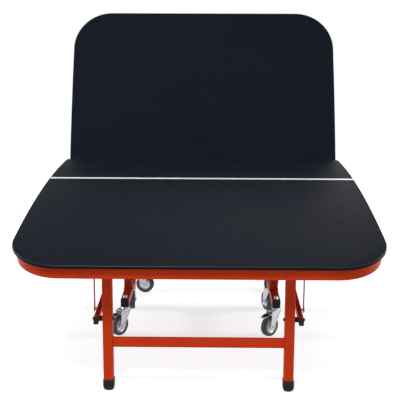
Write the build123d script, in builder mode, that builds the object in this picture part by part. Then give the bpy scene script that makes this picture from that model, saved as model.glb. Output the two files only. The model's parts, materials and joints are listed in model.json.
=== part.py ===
"""Arched folding ball-game table: two equal halves, each on its own wheeled carriage.

The near half lies in its playing position. The far half has been rolled in behind it
and folded up as a rebound wall. All sizes are in millimetres, +Z is up and the floor
is z = 0. While it is drawn, y = 0 is the near half's inner edge; the last lines move
everything so that the origin is the middle of the footprint on the floor.
"""
from build123d import *
from math import sqrt, sin, cos, tan, atan2, degrees, radians, hypot
import os

# Playing surface
WIDTH = 1500.0              # across the table, X
HALF_LENGTH = 1500.0        # one half, from its inner edge to its outer end
CENTRE_HEIGHT = 760.0       # top of the arch above the floor
END_DROP = 195.0            # how much lower the outer end is
BOARD_T = 13.0              # board thickness
BOND = 0.2                  # glue line between board and frame
CORNER_R = 215.0            # plan radius of the two outer corners
LINE_FROM_EDGE = 510.0      # white line, measured from the inner edge
LINE_W = 25.0               # width of the white line
LINE_T = 1.0                # depth of its inlay

# Steel frame under the board
TUBE_T = 20.0               # thickness of the flat-oval frame tubes
TUBE_D = 50.0               # depth of the frame tubes
TUBE_WALL = 1.5
APRON_INSET = 18.0          # board overhang past the apron
INNER_RAIL_SET = 130.0      # inner end tube, from the inner edge to its middle
BEAM_X = 328.0              # the two long beams, from the centre line

# Legs
SQUARE = 40.0               # square tube of legs, posts and carriage rails
SQUARE_WALL = 2.0
LEG_FROM_END = 155.0        # leg line, from the outer end
LEG_PIN_DROP = 34.0         # leg pivot below the board
LEG_BOLT_Z = 304.0          # strut bolt height on the leg
CROSSBAR_Z = 205.0
CROSSBAR_T = 20.0
FOOT_SIDE = 46.0
FOOT_H = 48.0
FOOT_SOLE = 14.0
FOOT_EDGE_R = 4.0
SOLE_RISE = 12.0            # height over which the sole draws in
SOLE_TAPER = 30.0

# Carriage
PIVOT_FROM_EDGE = 528.0     # leaf pivot, from the inner edge
PIVOT_DROP = 136.0          # leaf pivot below the top of the arch
RAIL_Z = 140.0              # underside of the carriage rail
CASTER_OUT = 152.0          # outer caster, from the post
RAIL_OVERHANG = 30.0        # rail past the caster's kingpin
RAIL_CLEAR = 9.7            # rail cap to the folded board, at the rail's top
CAP_T = 4.0
CROSS_LOW_Z = 300.0
CROSS_HIGH_DROP = 64.0      # upper cross tube below the leaf pivot

# Pivots and struts
PIN_R = 6.0
RUN = 0.05                  # running clearance on radius
SEAT = 0.02                 # radial room of a fixed pin in its hole
WELD = 0.1                  # root gap where a tube end meets a tube
GAP = 0.3                   # side clearance between moving neighbours
POST_GAP = 8.0              # beam face to post or leg face
PLATE_T = 6.0               # pivot plate thickness
PLATE_R = 22.0              # pivot plate end radius
PLATE_W = 120.0             # pivot plate width at the beam
HEAD_R = 12.0
HEAD_T = 5.0
STRUT_T = 20.0
STRUT_D = 30.0
STRUT_END = 25.0            # strut past its pins
SPACER_T = 15.0
SPACER_R = 11.0
STAY_FROM_BOLT = 90.0       # stay pivot, along the strut from its leg bolt
STAY_LONG = 150.0           # stay, from its pivot to the middle of its round head
STAY_W = 16.0
STAY_T = 4.0
STAY_GAP = 8.0              # strut face to stay, clear of the strut bolt's head
STAY_PIN_R = 4.0
STAY_HEAD_R = 8.0
STAY_HEAD_T = 3.0

# Casters
WHEEL_R = 50.0
WHEEL_W = 32.0
TYRE_T = 12.0
TREAD_R = 6.0               # rounding of the tyre's outer edges
HUB_R = 14.0                # hub boss at its face
HUB_FLARE = 2.0             # how much wider the boss is at the web
WEB_SET = 6.0               # wheel web, in from the tyre's face
LIP_W = 4.0                 # lip of the hub under the tyre
LIP_SET = 1.0               # lip, in from the tyre's face
AXLE_R = 4.0
AXLE_END = 4.0              # axle past the fork's cheeks
TRAIL = 44.0                # axle behind the kingpin
CHEEK_ROOM = 2.0            # wheel face to cheek
CHEEK_T = 3.0
CHEEK_R = 14.0
HOUSING_T = 4.0             # plate that joins the cheeks
HOUSING_SET = 2.0           # plate, behind the middle of crown and axle
CROWN_R = 22.0
CROWN_T = 12.0
KING_R = 5.0
KING_PLATE_R = 20.0
KING_PLATE_T = 5.0
KING_HEAD_R = 9.0
KING_HEAD_T = 6.0
NUT_T = 7.0
NUT_CHAMFER = 2.0

# Brake pedals
PEDAL_W = 30.0
PEDAL_PIN_R = 3.0
PEDAL_PIN_END = 1.0         # pin past the fork's cheeks
PEDAL_PIN_SET = 14.0        # pin ahead of the axle
PEDAL_PIN_DROP = 9.0        # pin below the crown
PEDAL_EYE_W = 12.0          # block round the pin
PEDAL_EYE_H = 10.0
PEDAL_BEND = 14.0           # bend of the lever, behind the axle
PEDAL_REACH = 52.0          # tip of the lever, behind the axle
PEDAL_LIFT = 8.0            # bend of the lever over the wheel
PEDAL_BEND_T = 5.0          # lever thickness at its bend
PEDAL_TIP_T = 4.0           # lever thickness at its tip
PEDAL_LEAN = 2.0            # how far the lever's upper face lies behind its lower one

# Pose of the far half
FOLD_DEG = 78.4             # turn from flat to the photographed angle
FAR_POST_Y = 160.0          # far post behind the near half's inner edge

os.makedirs("parts", exist_ok=True)

ARC_R = (HALF_LENGTH**2 + END_DROP**2) / (2 * END_DROP)
ARC_Z = CENTRE_HEIGHT - ARC_R
HALF_W = WIDTH / 2
TURN = radians(FOLD_DEG)
LEG_FROM_EDGE = HALF_LENGTH - LEG_FROM_END
PIVOT_Z = CENTRE_HEIGHT - PIVOT_DROP
CROSS_HIGH_Z = PIVOT_Z - CROSS_HIGH_DROP

# The rail's inner end stops short of the folded board's underside
FOLDED_DEPTH = PIVOT_DROP - BOARD_T
FOLDED_FALL = PIVOT_Z - RAIL_Z - SQUARE + FOLDED_DEPTH * cos(TURN)
FOLDED_REACH = FOLDED_FALL / tan(TURN) + FOLDED_DEPTH * sin(TURN)
CASTER_IN = FOLDED_REACH - RAIL_CLEAR - CAP_T - RAIL_OVERHANG


def under_z(y):
    """Height of the board's underside at distance y from the inner edge."""
    return ARC_Z + sqrt((ARC_R - BOARD_T) ** 2 - y**2)


def arch_slab(upper, lower):
    """Sector of the arch between two depths below the playing surface."""
    with BuildPart() as slab:
        with BuildSketch(Plane.YZ):
            with Locations((0, ARC_Z)):
                Circle(ARC_R - upper)
                Circle(ARC_R - lower, mode=Mode.SUBTRACT)
            with Locations((-HALF_LENGTH / 2, CENTRE_HEIGHT - END_DROP / 2)):
                Rectangle(2 * HALF_LENGTH, 4 * END_DROP, mode=Mode.INTERSECT)
        extrude(amount=WIDTH, both=True)
    return slab.part


TUBE_TOP = BOARD_T + BOND
TUBE_SLAB = arch_slab(TUBE_TOP, TUBE_TOP + TUBE_D)
TUBE_CORE = arch_slab(TUBE_TOP + TUBE_WALL, TUBE_TOP + TUBE_D - TUBE_WALL)

# Board with rounded outer corners and a groove for the white line
with BuildPart() as near_board:
    with BuildSketch():
        with Locations((0, -HALF_LENGTH / 2)):
            outline = Rectangle(WIDTH, HALF_LENGTH)
        fillet(outline.vertices().group_by(Axis.Y)[0], CORNER_R)
    extrude(amount=2 * CENTRE_HEIGHT)
    add(arch_slab(0, BOARD_T), mode=Mode.INTERSECT)

with BuildPart() as near_line:
    with BuildSketch():
        with Locations((0, -LINE_FROM_EDGE)):
            Rectangle(WIDTH, LINE_W)
    extrude(amount=2 * CENTRE_HEIGHT)
    add(arch_slab(0, LINE_T), mode=Mode.INTERSECT)

with BuildPart() as board_cut:
    add(near_board.part)
    add(near_line.part, mode=Mode.SUBTRACT)
near_board_part = board_cut.part


def straight_tube(x, y, length_x, length_y, along):
    """Hollow frame tube that follows the arch; its ends stay open."""
    with BuildPart() as tube:
        with BuildSketch():
            with Locations((x, y)):
                Rectangle(length_x, length_y)
        extrude(amount=2 * CENTRE_HEIGHT)
        add(TUBE_SLAB, mode=Mode.INTERSECT)
    with BuildPart() as core:
        with BuildSketch():
            with Locations((x, y)):
                if along == "y":
                    Rectangle(length_x - 2 * TUBE_WALL, length_y)
                else:
                    Rectangle(length_x, length_y - 2 * TUBE_WALL)
        extrude(amount=2 * CENTRE_HEIGHT)
        add(TUBE_CORE, mode=Mode.INTERSECT)
    with BuildPart() as hollow:
        add(tube.part)
        add(core.part, mode=Mode.SUBTRACT)
    return hollow.part


def quarter_ring(side, outer, inner):
    """Plan of a quarter bend that shares its centre with a corner of the board."""
    centre = (side * (HALF_W - CORNER_R), -(HALF_LENGTH - CORNER_R))
    with BuildSketch() as quarter:
        with Locations(centre):
            Circle(outer)
            Circle(inner, mode=Mode.SUBTRACT)
        with Locations((centre[0] + side * outer / 2, centre[1] - outer / 2)):
            Rectangle(outer, outer, mode=Mode.INTERSECT)
    return quarter.sketch


def corner_tube(side):
    """Quarter bend of the apron under a rounded corner of the board."""
    outer = CORNER_R - APRON_INSET
    with BuildPart() as core:
        add(quarter_ring(side, outer - TUBE_WALL, outer - TUBE_T + TUBE_WALL))
        extrude(amount=2 * CENTRE_HEIGHT)
        add(TUBE_CORE, mode=Mode.INTERSECT)
    with BuildPart() as bend:
        add(quarter_ring(side, outer, outer - TUBE_T))
        extrude(amount=2 * CENTRE_HEIGHT)
        add(TUBE_SLAB, mode=Mode.INTERSECT)
        add(core.part, mode=Mode.SUBTRACT)
    return bend.part


# Apron: two side tubes, two corner bends, the outer end and the set-back inner end
SIDE_X = HALF_W - APRON_INSET - TUBE_T / 2
OUTER_Y = HALF_LENGTH - APRON_INSET - TUBE_T / 2
SIDE_INNER = INNER_RAIL_SET - TUBE_T / 2
SIDE_LENGTH = HALF_LENGTH - CORNER_R - SIDE_INNER
SIDE_MID = SIDE_INNER + SIDE_LENGTH / 2
near_apron_part = Compound(children=[
    straight_tube(-SIDE_X, -SIDE_MID, TUBE_T, SIDE_LENGTH, "y"),
    straight_tube(SIDE_X, -SIDE_MID, TUBE_T, SIDE_LENGTH, "y"),
    corner_tube(-1),
    corner_tube(1),
    straight_tube(0, -OUTER_Y, WIDTH - 2 * CORNER_R, TUBE_T, "x"),
    straight_tube(0, -INNER_RAIL_SET, 2 * SIDE_X - TUBE_T, TUBE_T, "x"),
])

# Long beams that carry the pivots; the leg pivot pin passes through each
BEAM_OUTER = BEAM_X + TUBE_T / 2
LEG_X = BEAM_OUTER + POST_GAP + SQUARE / 2
LEG_PIN_Z = under_z(LEG_FROM_EDGE) - LEG_PIN_DROP
BEAM_INNER_Y = INNER_RAIL_SET + TUBE_T / 2
BEAM_LENGTH = OUTER_Y - TUBE_T / 2 - BEAM_INNER_Y - 2 * WELD
BEAM_MID = BEAM_INNER_Y + WELD + BEAM_LENGTH / 2
with BuildPart() as near_beams:
    add(straight_tube(-BEAM_X, -BEAM_MID, TUBE_T, BEAM_LENGTH, "y"))
    add(straight_tube(BEAM_X, -BEAM_MID, TUBE_T, BEAM_LENGTH, "y"))
    with Locations((0, -LEG_FROM_EDGE, LEG_PIN_Z)):
        Cylinder(PIN_R + SEAT, WIDTH, rotation=(0, 90, 0), mode=Mode.SUBTRACT)

# Pivot plates on the beams, down to the carriage pivot
PLATE_TOP = under_z(PIVOT_FROM_EDGE + PLATE_W / 2) - TUBE_WALL
with BuildPart() as near_plates:
    for side in (-1, 1):
        x0 = side * BEAM_OUTER if side > 0 else -BEAM_OUTER - PLATE_T
        with BuildSketch(Plane.YZ.offset(x0)):
            with Locations((-PIVOT_FROM_EDGE, PIVOT_Z)):
                Circle(PLATE_R)
            with Locations((-PIVOT_FROM_EDGE, PLATE_TOP - TUBE_D / 2)):
                Rectangle(PLATE_W, TUBE_D - 2 * TUBE_WALL)
            make_hull()
            with Locations((-PIVOT_FROM_EDGE, PIVOT_Z)):
                Circle(PIN_R + SEAT, mode=Mode.SUBTRACT)
        extrude(amount=PLATE_T)


def turned_pin(x_start, steps, y, z, side):
    """Stepped pin along X: (length, radius) steps from x_start, mirrored for side -1."""
    with BuildPart() as pin:
        x = x_start
        for length, radius in steps:
            with BuildSketch(Plane.YZ.offset(x)):
                with Locations((y, z)):
                    Circle(radius)
            extrude(amount=length)
            x += length
    return pin.part if side > 0 else mirror(pin.part, about=Plane.YZ)


# Pins fixed to the leaf: leg pivots through the beams, carriage pivots in the plates
BEAM_INSIDE = BEAM_X - TUBE_T / 2
PLATE_OUTER = BEAM_OUTER + PLATE_T
LEG_IN = LEG_X - SQUARE / 2
LEG_OUT = LEG_X + SQUARE / 2
leg_pin_steps = [
    (HEAD_T, HEAD_R),
    (TUBE_T, PIN_R),
    (POST_GAP - GAP, HEAD_R),
    (SQUARE + 2 * GAP, PIN_R),
    (HEAD_T, HEAD_R),
]
post_pin_steps = [
    (HEAD_T, HEAD_R),
    (PLATE_T, PIN_R),
    (POST_GAP - PLATE_T - GAP, HEAD_R),
    (SQUARE + 2 * GAP, PIN_R),
    (HEAD_T, HEAD_R),
]
near_leaf_pins_part = Compound(children=[
    turned_pin(start, steps, y, z, side)
    for side in (-1, 1)
    for start, steps, y, z in (
        (BEAM_INSIDE - HEAD_T, leg_pin_steps, -LEG_FROM_EDGE, LEG_PIN_Z),
        (BEAM_OUTER - HEAD_T, post_pin_steps, -PIVOT_FROM_EDGE, PIVOT_Z),
    )
])

# Leg frame: two legs with rounded heads and a crossbar
with BuildPart() as near_legs:
    for side in (-1, 1):
        with BuildSketch(Plane.YZ.offset(side * LEG_X)):
            with Locations((-LEG_FROM_EDGE, (LEG_PIN_Z + FOOT_SOLE) / 2)):
                Rectangle(SQUARE, LEG_PIN_Z - FOOT_SOLE)
            with Locations((-LEG_FROM_EDGE, LEG_PIN_Z)):
                Circle(SQUARE / 2)
        extrude(amount=SQUARE / 2, both=True)
    CORE_TOP = LEG_PIN_Z - SQUARE / 2
    for side in (-1, 1):
        with Locations((side * LEG_X, -LEG_FROM_EDGE, (CORE_TOP + FOOT_SOLE) / 2)):
            Box(SQUARE - 2 * SQUARE_WALL, SQUARE - 2 * SQUARE_WALL, CORE_TOP - FOOT_SOLE, mode=Mode.SUBTRACT)
    with Locations((0, -LEG_FROM_EDGE, LEG_PIN_Z)):
        Cylinder(PIN_R + RUN, WIDTH, rotation=(0, 90, 0), mode=Mode.SUBTRACT)
    with Locations((0, -LEG_FROM_EDGE, LEG_BOLT_Z)):
        Cylinder(PIN_R + SEAT, WIDTH, rotation=(0, 90, 0), mode=Mode.SUBTRACT)

with BuildPart() as near_crossbar:
    with Locations((0, -LEG_FROM_EDGE, CROSSBAR_Z)):
        Box(2 * LEG_IN, CROSSBAR_T, SQUARE)
        Box(2 * LEG_IN, CROSSBAR_T - 2 * TUBE_WALL, SQUARE - 2 * TUBE_WALL, mode=Mode.SUBTRACT)

# Foot cups with a drawn-in sole, pushed over the leg ends
with BuildPart() as near_feet:
    for side in (-1, 1):
        with BuildSketch(Plane.XY.offset(SOLE_RISE)) as cup:
            with Locations((side * LEG_X, -LEG_FROM_EDGE)):
                RectangleRounded(FOOT_SIDE, FOOT_SIDE, FOOT_EDGE_R)
        extrude(amount=FOOT_H - SOLE_RISE)
        extrude(cup.sketch, amount=-SOLE_RISE, taper=SOLE_TAPER)
        with Locations((side * LEG_X, -LEG_FROM_EDGE, FOOT_SOLE + FOOT_H / 2)):
            Box(SQUARE, SQUARE, FOOT_H, mode=Mode.SUBTRACT)

# Strut pins: one set fixed to the legs, one to the carriage posts
STRUT_X = LEG_OUT + SPACER_T + STRUT_T / 2
STRUT_DROP = LEG_PIN_Z - LEG_BOLT_Z
STRUT_PIN_Z = PIVOT_Z - STRUT_DROP
strut_pin_steps = [
    (NUT_T, SPACER_R),
    (SQUARE, PIN_R),
    (SPACER_T - GAP, SPACER_R),
    (STRUT_T + 2 * GAP, PIN_R),
    (HEAD_T, SPACER_R),
]
near_leg_bolts_part = Compound(children=[
    turned_pin(LEG_IN - NUT_T, strut_pin_steps, -LEG_FROM_EDGE, LEG_BOLT_Z, side) for side in (-1, 1)
])
near_post_bolts_part = Compound(children=[
    turned_pin(LEG_IN - NUT_T, strut_pin_steps, -PIVOT_FROM_EDGE, STRUT_PIN_Z, side) for side in (-1, 1)
])

# Struts: they run parallel to the line from carriage pivot to leg pivot
SPAN_Y = LEG_FROM_EDGE - PIVOT_FROM_EDGE
SPAN_Z = PIVOT_Z - LEG_PIN_Z
STRUT_SPAN = hypot(SPAN_Y, SPAN_Z)
STRUT_SLOPE = degrees(atan2(SPAN_Z, SPAN_Y))
STRUT_LONG = STRUT_SPAN + 2 * STRUT_END
STRUT_MID = (-(LEG_FROM_EDGE + PIVOT_FROM_EDGE) / 2, (LEG_BOLT_Z + STRUT_PIN_Z) / 2)


def make_strut(side):
    """Hollow strut with a plug in each end, drawn level and then set to its slope."""
    with BuildPart() as tube:
        Box(STRUT_T, STRUT_LONG, STRUT_D)
        Box(STRUT_T - 2 * TUBE_WALL, STRUT_LONG, STRUT_D - 2 * TUBE_WALL, mode=Mode.SUBTRACT)
        with Locations((0, -STRUT_SPAN / 2, 0), (0, STRUT_SPAN / 2, 0)):
            Cylinder(PIN_R + RUN, 2 * STRUT_T, rotation=(0, 90, 0), mode=Mode.SUBTRACT)
        with Locations((0, -STRUT_SPAN / 2 + STAY_FROM_BOLT, 0)):
            Cylinder(STAY_PIN_R + RUN, 2 * STRUT_T, rotation=(0, 90, 0), mode=Mode.SUBTRACT)
    with BuildPart() as plugs:
        with Locations((0, -(STRUT_LONG + CAP_T) / 2, 0), (0, (STRUT_LONG + CAP_T) / 2, 0)):
            Box(STRUT_T, CAP_T, STRUT_D)
    place = Pos(side * STRUT_X, STRUT_MID[0], STRUT_MID[1]) * Rot(STRUT_SLOPE, 0, 0)
    return Compound(children=[place * tube.part, place * plugs.part])


near_strut_left_part = make_strut(-1)
near_strut_right_part = make_strut(1)

# Stays: thin upright bars on the outside of the struts, each with its pin
STAY_Y = -LEG_FROM_EDGE + STAY_FROM_BOLT * cos(radians(STRUT_SLOPE))
STAY_Z = LEG_BOLT_Z + STAY_FROM_BOLT * sin(radians(STRUT_SLOPE))
STAY_X = STRUT_X + STRUT_T / 2 + STAY_GAP
STAY_PIN_X = STRUT_X - STRUT_T / 2 - GAP - STAY_HEAD_T
stay_pin_steps = [
    (STAY_HEAD_T, STAY_HEAD_R),
    (STRUT_T + 2 * GAP, STAY_PIN_R),
    (STAY_GAP - GAP, STAY_HEAD_R),
    (STAY_T, STAY_PIN_R),
    (STAY_HEAD_T, STAY_HEAD_R),
]


def make_stay(side):
    """Upright bar with round ends, and its pin through the strut."""
    with BuildPart() as stay:
        with BuildSketch(Plane.YZ.offset(STAY_X)):
            with Locations((STAY_Y, STAY_Z), (STAY_Y, STAY_Z + STAY_LONG)):
                Circle(STAY_W / 2)
            make_hull()
        extrude(amount=STAY_T)
        add(turned_pin(STAY_PIN_X, stay_pin_steps, STAY_Y, STAY_Z, 1))
    return stay.part if side > 0 else mirror(stay.part, about=Plane.YZ)


near_stay_left_part = make_stay(-1)
near_stay_right_part = make_stay(1)

# Carriage: rails on casters, posts with the leaf pivots, two cross tubes
RAIL_OUT = PIVOT_FROM_EDGE + CASTER_OUT + RAIL_OVERHANG
RAIL_IN = PIVOT_FROM_EDGE - CASTER_IN - RAIL_OVERHANG
RAIL_TOP = RAIL_Z + SQUARE
CASTER_Y = (-(PIVOT_FROM_EDGE + CASTER_OUT), -(PIVOT_FROM_EDGE - CASTER_IN))
with BuildPart() as near_rails:
    with Locations(*[(side * LEG_X, -(RAIL_OUT + RAIL_IN) / 2, RAIL_Z + SQUARE / 2) for side in (-1, 1)]):
        Box(SQUARE, RAIL_OUT - RAIL_IN, SQUARE)
        Box(SQUARE - 2 * SQUARE_WALL, RAIL_OUT - RAIL_IN, SQUARE - 2 * SQUARE_WALL, mode=Mode.SUBTRACT)
    with Locations(*[(side * LEG_X, y, RAIL_Z + SQUARE / 2) for side in (-1, 1) for y in CASTER_Y]):
        Cylinder(KING_R + SEAT, 2 * SQUARE, mode=Mode.SUBTRACT)

with BuildPart() as near_rail_caps:
    with Locations(*[(side * LEG_X, -(RAIL_OUT + CAP_T / 2), RAIL_Z + SQUARE / 2) for side in (-1, 1)]):
        Box(SQUARE, CAP_T, SQUARE)
    with Locations(*[(side * LEG_X, -(RAIL_IN - CAP_T / 2), RAIL_Z + SQUARE / 2) for side in (-1, 1)]):
        Box(SQUARE, CAP_T, SQUARE)

POST_TOP = PIVOT_Z + PLATE_R
with BuildPart() as near_posts:
    with Locations(*[(side * LEG_X, -PIVOT_FROM_EDGE, (POST_TOP + RAIL_TOP) / 2) for side in (-1, 1)]):
        Box(SQUARE, SQUARE, POST_TOP - RAIL_TOP)
        Box(SQUARE - 2 * SQUARE_WALL, SQUARE - 2 * SQUARE_WALL, POST_TOP - RAIL_TOP, mode=Mode.SUBTRACT)
    with Locations((0, -PIVOT_FROM_EDGE, PIVOT_Z)):
        Cylinder(PIN_R + RUN, WIDTH, rotation=(0, 90, 0), mode=Mode.SUBTRACT)
    with Locations((0, -PIVOT_FROM_EDGE, STRUT_PIN_Z)):
        Cylinder(PIN_R + SEAT, WIDTH, rotation=(0, 90, 0), mode=Mode.SUBTRACT)

with BuildPart() as near_cross_tubes:
    with Locations(*[(0, -PIVOT_FROM_EDGE, z) for z in (CROSS_LOW_Z, CROSS_HIGH_Z)]):
        Box(2 * LEG_IN, SQUARE, SQUARE)
        Box(2 * LEG_IN, SQUARE - 2 * SQUARE_WALL, SQUARE - 2 * SQUARE_WALL, mode=Mode.SUBTRACT)

# Kingpins: head under the crown, pin, raceway plate under the rail, nut on top
KING_PLATE_Z = RAIL_Z - KING_PLATE_T
CROWN_TOP = KING_PLATE_Z - GAP
CROWN_Z = CROWN_TOP - CROWN_T
KING_HEAD_TOP = CROWN_Z - GAP


def make_kingpin():
    """Kingpin on the Z axis at its true height."""
    with BuildPart() as king:
        for z, height, radius in (
            (KING_HEAD_TOP - KING_HEAD_T, KING_HEAD_T, KING_HEAD_R),
            (KING_HEAD_TOP, RAIL_TOP - KING_HEAD_TOP, KING_R),
            (KING_PLATE_Z, KING_PLATE_T, KING_PLATE_R),
            (RAIL_TOP, NUT_T, KING_HEAD_R),
        ):
            with BuildSketch(Plane.XY.offset(z)):
                Circle(radius)
            extrude(amount=height)
        chamfer(king.edges().group_by(Axis.Z)[-1], NUT_CHAMFER)
    return king.part


kingpin = make_kingpin()
near_kingpins_part = Compound(children=[
    Pos(side * LEG_X, y, 0) * kingpin for side in (-1, 1) for y in CASTER_Y
])

# Caster fork, trailing towards +Y from the Z axis; the axle is riveted into it
CHEEK_X = WHEEL_W / 2 + CHEEK_ROOM
CHEEK_OUT = CHEEK_X + CHEEK_T
HOUSING_MID = ((TRAIL - CROWN_R) / 2 + HOUSING_SET, CROWN_Z + HOUSING_T / 2)
PEDAL_Y = TRAIL - PEDAL_PIN_SET
PEDAL_Z = CROWN_Z - PEDAL_PIN_DROP


def make_fork(braked):
    """Crown, plate and cheeks with the axle; a braked fork has holes for the pedal's pin."""
    with BuildPart() as fork:
        with BuildSketch(Plane.XY.offset(CROWN_Z)):
            Circle(CROWN_R)
        extrude(amount=CROWN_T)
        with Locations((0, *HOUSING_MID)):
            Box(2 * CHEEK_OUT, TRAIL + CROWN_R, HOUSING_T)
        for x0 in (CHEEK_X, -CHEEK_OUT):
            with BuildSketch(Plane.YZ.offset(x0)):
                with Locations((TRAIL, WHEEL_R)):
                    Circle(CHEEK_R)
                with Locations(HOUSING_MID):
                    Rectangle(TRAIL + CROWN_R, HOUSING_T)
                make_hull()
            extrude(amount=CHEEK_T)
        with BuildSketch(Plane.YZ):
            with Locations((TRAIL, WHEEL_R)):
                Circle(AXLE_R)
        extrude(amount=CHEEK_OUT + AXLE_END, both=True)
        with Locations((0, 0, CROWN_Z + CROWN_T / 2)):
            Cylinder(KING_R + RUN, 2 * CROWN_T, mode=Mode.SUBTRACT)
        if braked:
            with Locations((0, PEDAL_Y, PEDAL_Z)):
                Cylinder(PEDAL_PIN_R + RUN, 4 * CHEEK_OUT, rotation=(0, 90, 0), mode=Mode.SUBTRACT)
    return fork.part


def make_wheel():
    """Tyre and hub, about the axle."""
    with BuildPart() as tyre:
        with BuildSketch(Plane.XZ):
            with Locations((WHEEL_R - TYRE_T / 2, 0)):
                tread = Rectangle(TYRE_T, WHEEL_W)
            fillet(tread.vertices().group_by(Axis.X)[-1], TREAD_R)
        revolve(axis=Axis.Z)
    half, rim, boss = WHEEL_W / 2, WHEEL_R - TYRE_T, CHEEK_X - GAP
    front = [
        (AXLE_R + RUN, boss),
        (HUB_R, boss),
        (HUB_R + HUB_FLARE, half - WEB_SET),
        (rim - WEB_SET, half - WEB_SET),
        (rim - LIP_W, half - LIP_SET),
        (rim, half - LIP_SET),
    ]
    back = [(radius, -x) for radius, x in front]
    with BuildPart() as hub:
        with BuildSketch(Plane.XZ):
            with BuildLine():
                Polyline(*back, *reversed(front), close=True)
            make_face()
        revolve(axis=Axis.Z)
    place = Pos(0, TRAIL, WHEEL_R) * Rot(0, 90, 0)
    return Compound(children=[place * tyre.part, place * hub.part])


def make_pedal():
    """Brake pedal over the wheel, on its own cross pin in the fork's cheeks."""
    eye_front, eye_back = PEDAL_Y - PEDAL_EYE_W / 2, PEDAL_Y + PEDAL_EYE_W / 2
    eye_low, eye_high = PEDAL_Z - PEDAL_EYE_H / 2, PEDAL_Z + PEDAL_EYE_H / 2
    bend, tip, wheel_top = TRAIL + PEDAL_BEND, TRAIL + PEDAL_REACH, 2 * WHEEL_R
    outline = [
        (eye_front, eye_high),
        (eye_front, eye_low),
        (eye_back, eye_low),
        (bend, wheel_top + PEDAL_LIFT),
        (tip, wheel_top),
        (tip + PEDAL_LEAN, wheel_top + PEDAL_TIP_T),
        (bend + PEDAL_LEAN, wheel_top + PEDAL_LIFT + PEDAL_BEND_T),
        (eye_back, eye_high),
    ]
    with BuildPart() as pedal:
        with BuildSketch(Plane.YZ):
            with BuildLine():
                Polyline(*outline, close=True)
            make_face()
        extrude(amount=PEDAL_W / 2, both=True)
        with BuildSketch(Plane.YZ):
            with Locations((PEDAL_Y, PEDAL_Z)):
                Circle(PEDAL_PIN_R)
        extrude(amount=CHEEK_OUT + PEDAL_PIN_END, both=True)
    return pedal.part


fork_plain = make_fork(False)
fork_braked = make_fork(True)
wheel = make_wheel()
pedal = make_pedal()

# Moves that take a near piece to its place on the far half
FLIP = Plane.XZ
ROLL = FAR_POST_Y - PIVOT_FROM_EDGE
LEAF_MOVE = Pos(0, FAR_POST_Y, PIVOT_Z) * Rot(FOLD_DEG, 0, 0) * Pos(0, -PIVOT_FROM_EDGE, -PIVOT_Z)
STRUT_MOVE = Pos(0, FAR_POST_Y, STRUT_PIN_Z) * Rot(FOLD_DEG, 0, 0) * Pos(0, -PIVOT_FROM_EDGE, -STRUT_PIN_Z)
BASE_MOVE = Pos(0, ROLL, 0)
STAY_OUT, STAY_DOWN = -STAY_Y - PIVOT_FROM_EDGE, STRUT_PIN_Z - STAY_Z
STAY_MOVE = Pos(
    0,
    FAR_POST_Y + STAY_OUT * cos(TURN) + STAY_DOWN * sin(TURN) + STAY_Y,
    STAY_OUT * sin(TURN) - STAY_DOWN * cos(TURN) + STAY_DOWN,
)
LEG_MOVE = Pos(
    0,
    FAR_POST_Y + SPAN_Y * cos(TURN) + SPAN_Z * sin(TURN) - LEG_FROM_EDGE,
    PIVOT_Z + SPAN_Y * sin(TURN) - SPAN_Z * cos(TURN) - LEG_PIN_Z,
)

pieces = {}
near_half = (
    ("board", near_board_part, LEAF_MOVE),
    ("line", near_line.part, LEAF_MOVE),
    ("apron", near_apron_part, LEAF_MOVE),
    ("beams", near_beams.part, LEAF_MOVE),
    ("pivot_plates", near_plates.part, LEAF_MOVE),
    ("leaf_pins", near_leaf_pins_part, LEAF_MOVE),
    ("legs", near_legs.part, LEG_MOVE),
    ("crossbar", near_crossbar.part, LEG_MOVE),
    ("feet", near_feet.part, LEG_MOVE),
    ("leg_bolts", near_leg_bolts_part, LEG_MOVE),
    ("strut_left", near_strut_left_part, STRUT_MOVE),
    ("strut_right", near_strut_right_part, STRUT_MOVE),
    ("stay_left", near_stay_left_part, STAY_MOVE),
    ("stay_right", near_stay_right_part, STAY_MOVE),
    ("rails", near_rails.part, BASE_MOVE),
    ("rail_caps", near_rail_caps.part, BASE_MOVE),
    ("posts", near_posts.part, BASE_MOVE),
    ("cross_tubes", near_cross_tubes.part, BASE_MOVE),
    ("post_bolts", near_post_bolts_part, BASE_MOVE),
    ("kingpins", near_kingpins_part, BASE_MOVE),
)
for name, shape, move in near_half:
    pieces["near_" + name] = shape
    pieces["far_" + name] = move * mirror(shape, about=FLIP)

# Casters: (name, side, fore-and-aft place, direction the wheel trails, braked)
casters = (
    ("near_outer_left", -1, CASTER_Y[0], 143, True),
    ("near_outer_right", 1, CASTER_Y[0], 135, True),
    ("near_inner_left", -1, CASTER_Y[1], 5, False),
    ("near_inner_right", 1, CASTER_Y[1], 20, False),
    ("far_inner_left", -1, -CASTER_Y[1] + ROLL, -100, False),
    ("far_inner_right", 1, -CASTER_Y[1] + ROLL, -45, False),
    ("far_outer_left", -1, -CASTER_Y[0] + ROLL, -20, True),
    ("far_outer_right", 1, -CASTER_Y[0] + ROLL, 15, True),
)
for name, side, y, turn, braked in casters:
    place = Pos(side * LEG_X, y, 0) * Rot(0, 0, turn)
    pieces["fork_" + name] = place * (fork_braked if braked else fork_plain)
    pieces["wheel_" + name] = place * wheel
    if braked:
        pieces["pedal_" + name] = place * pedal

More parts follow.
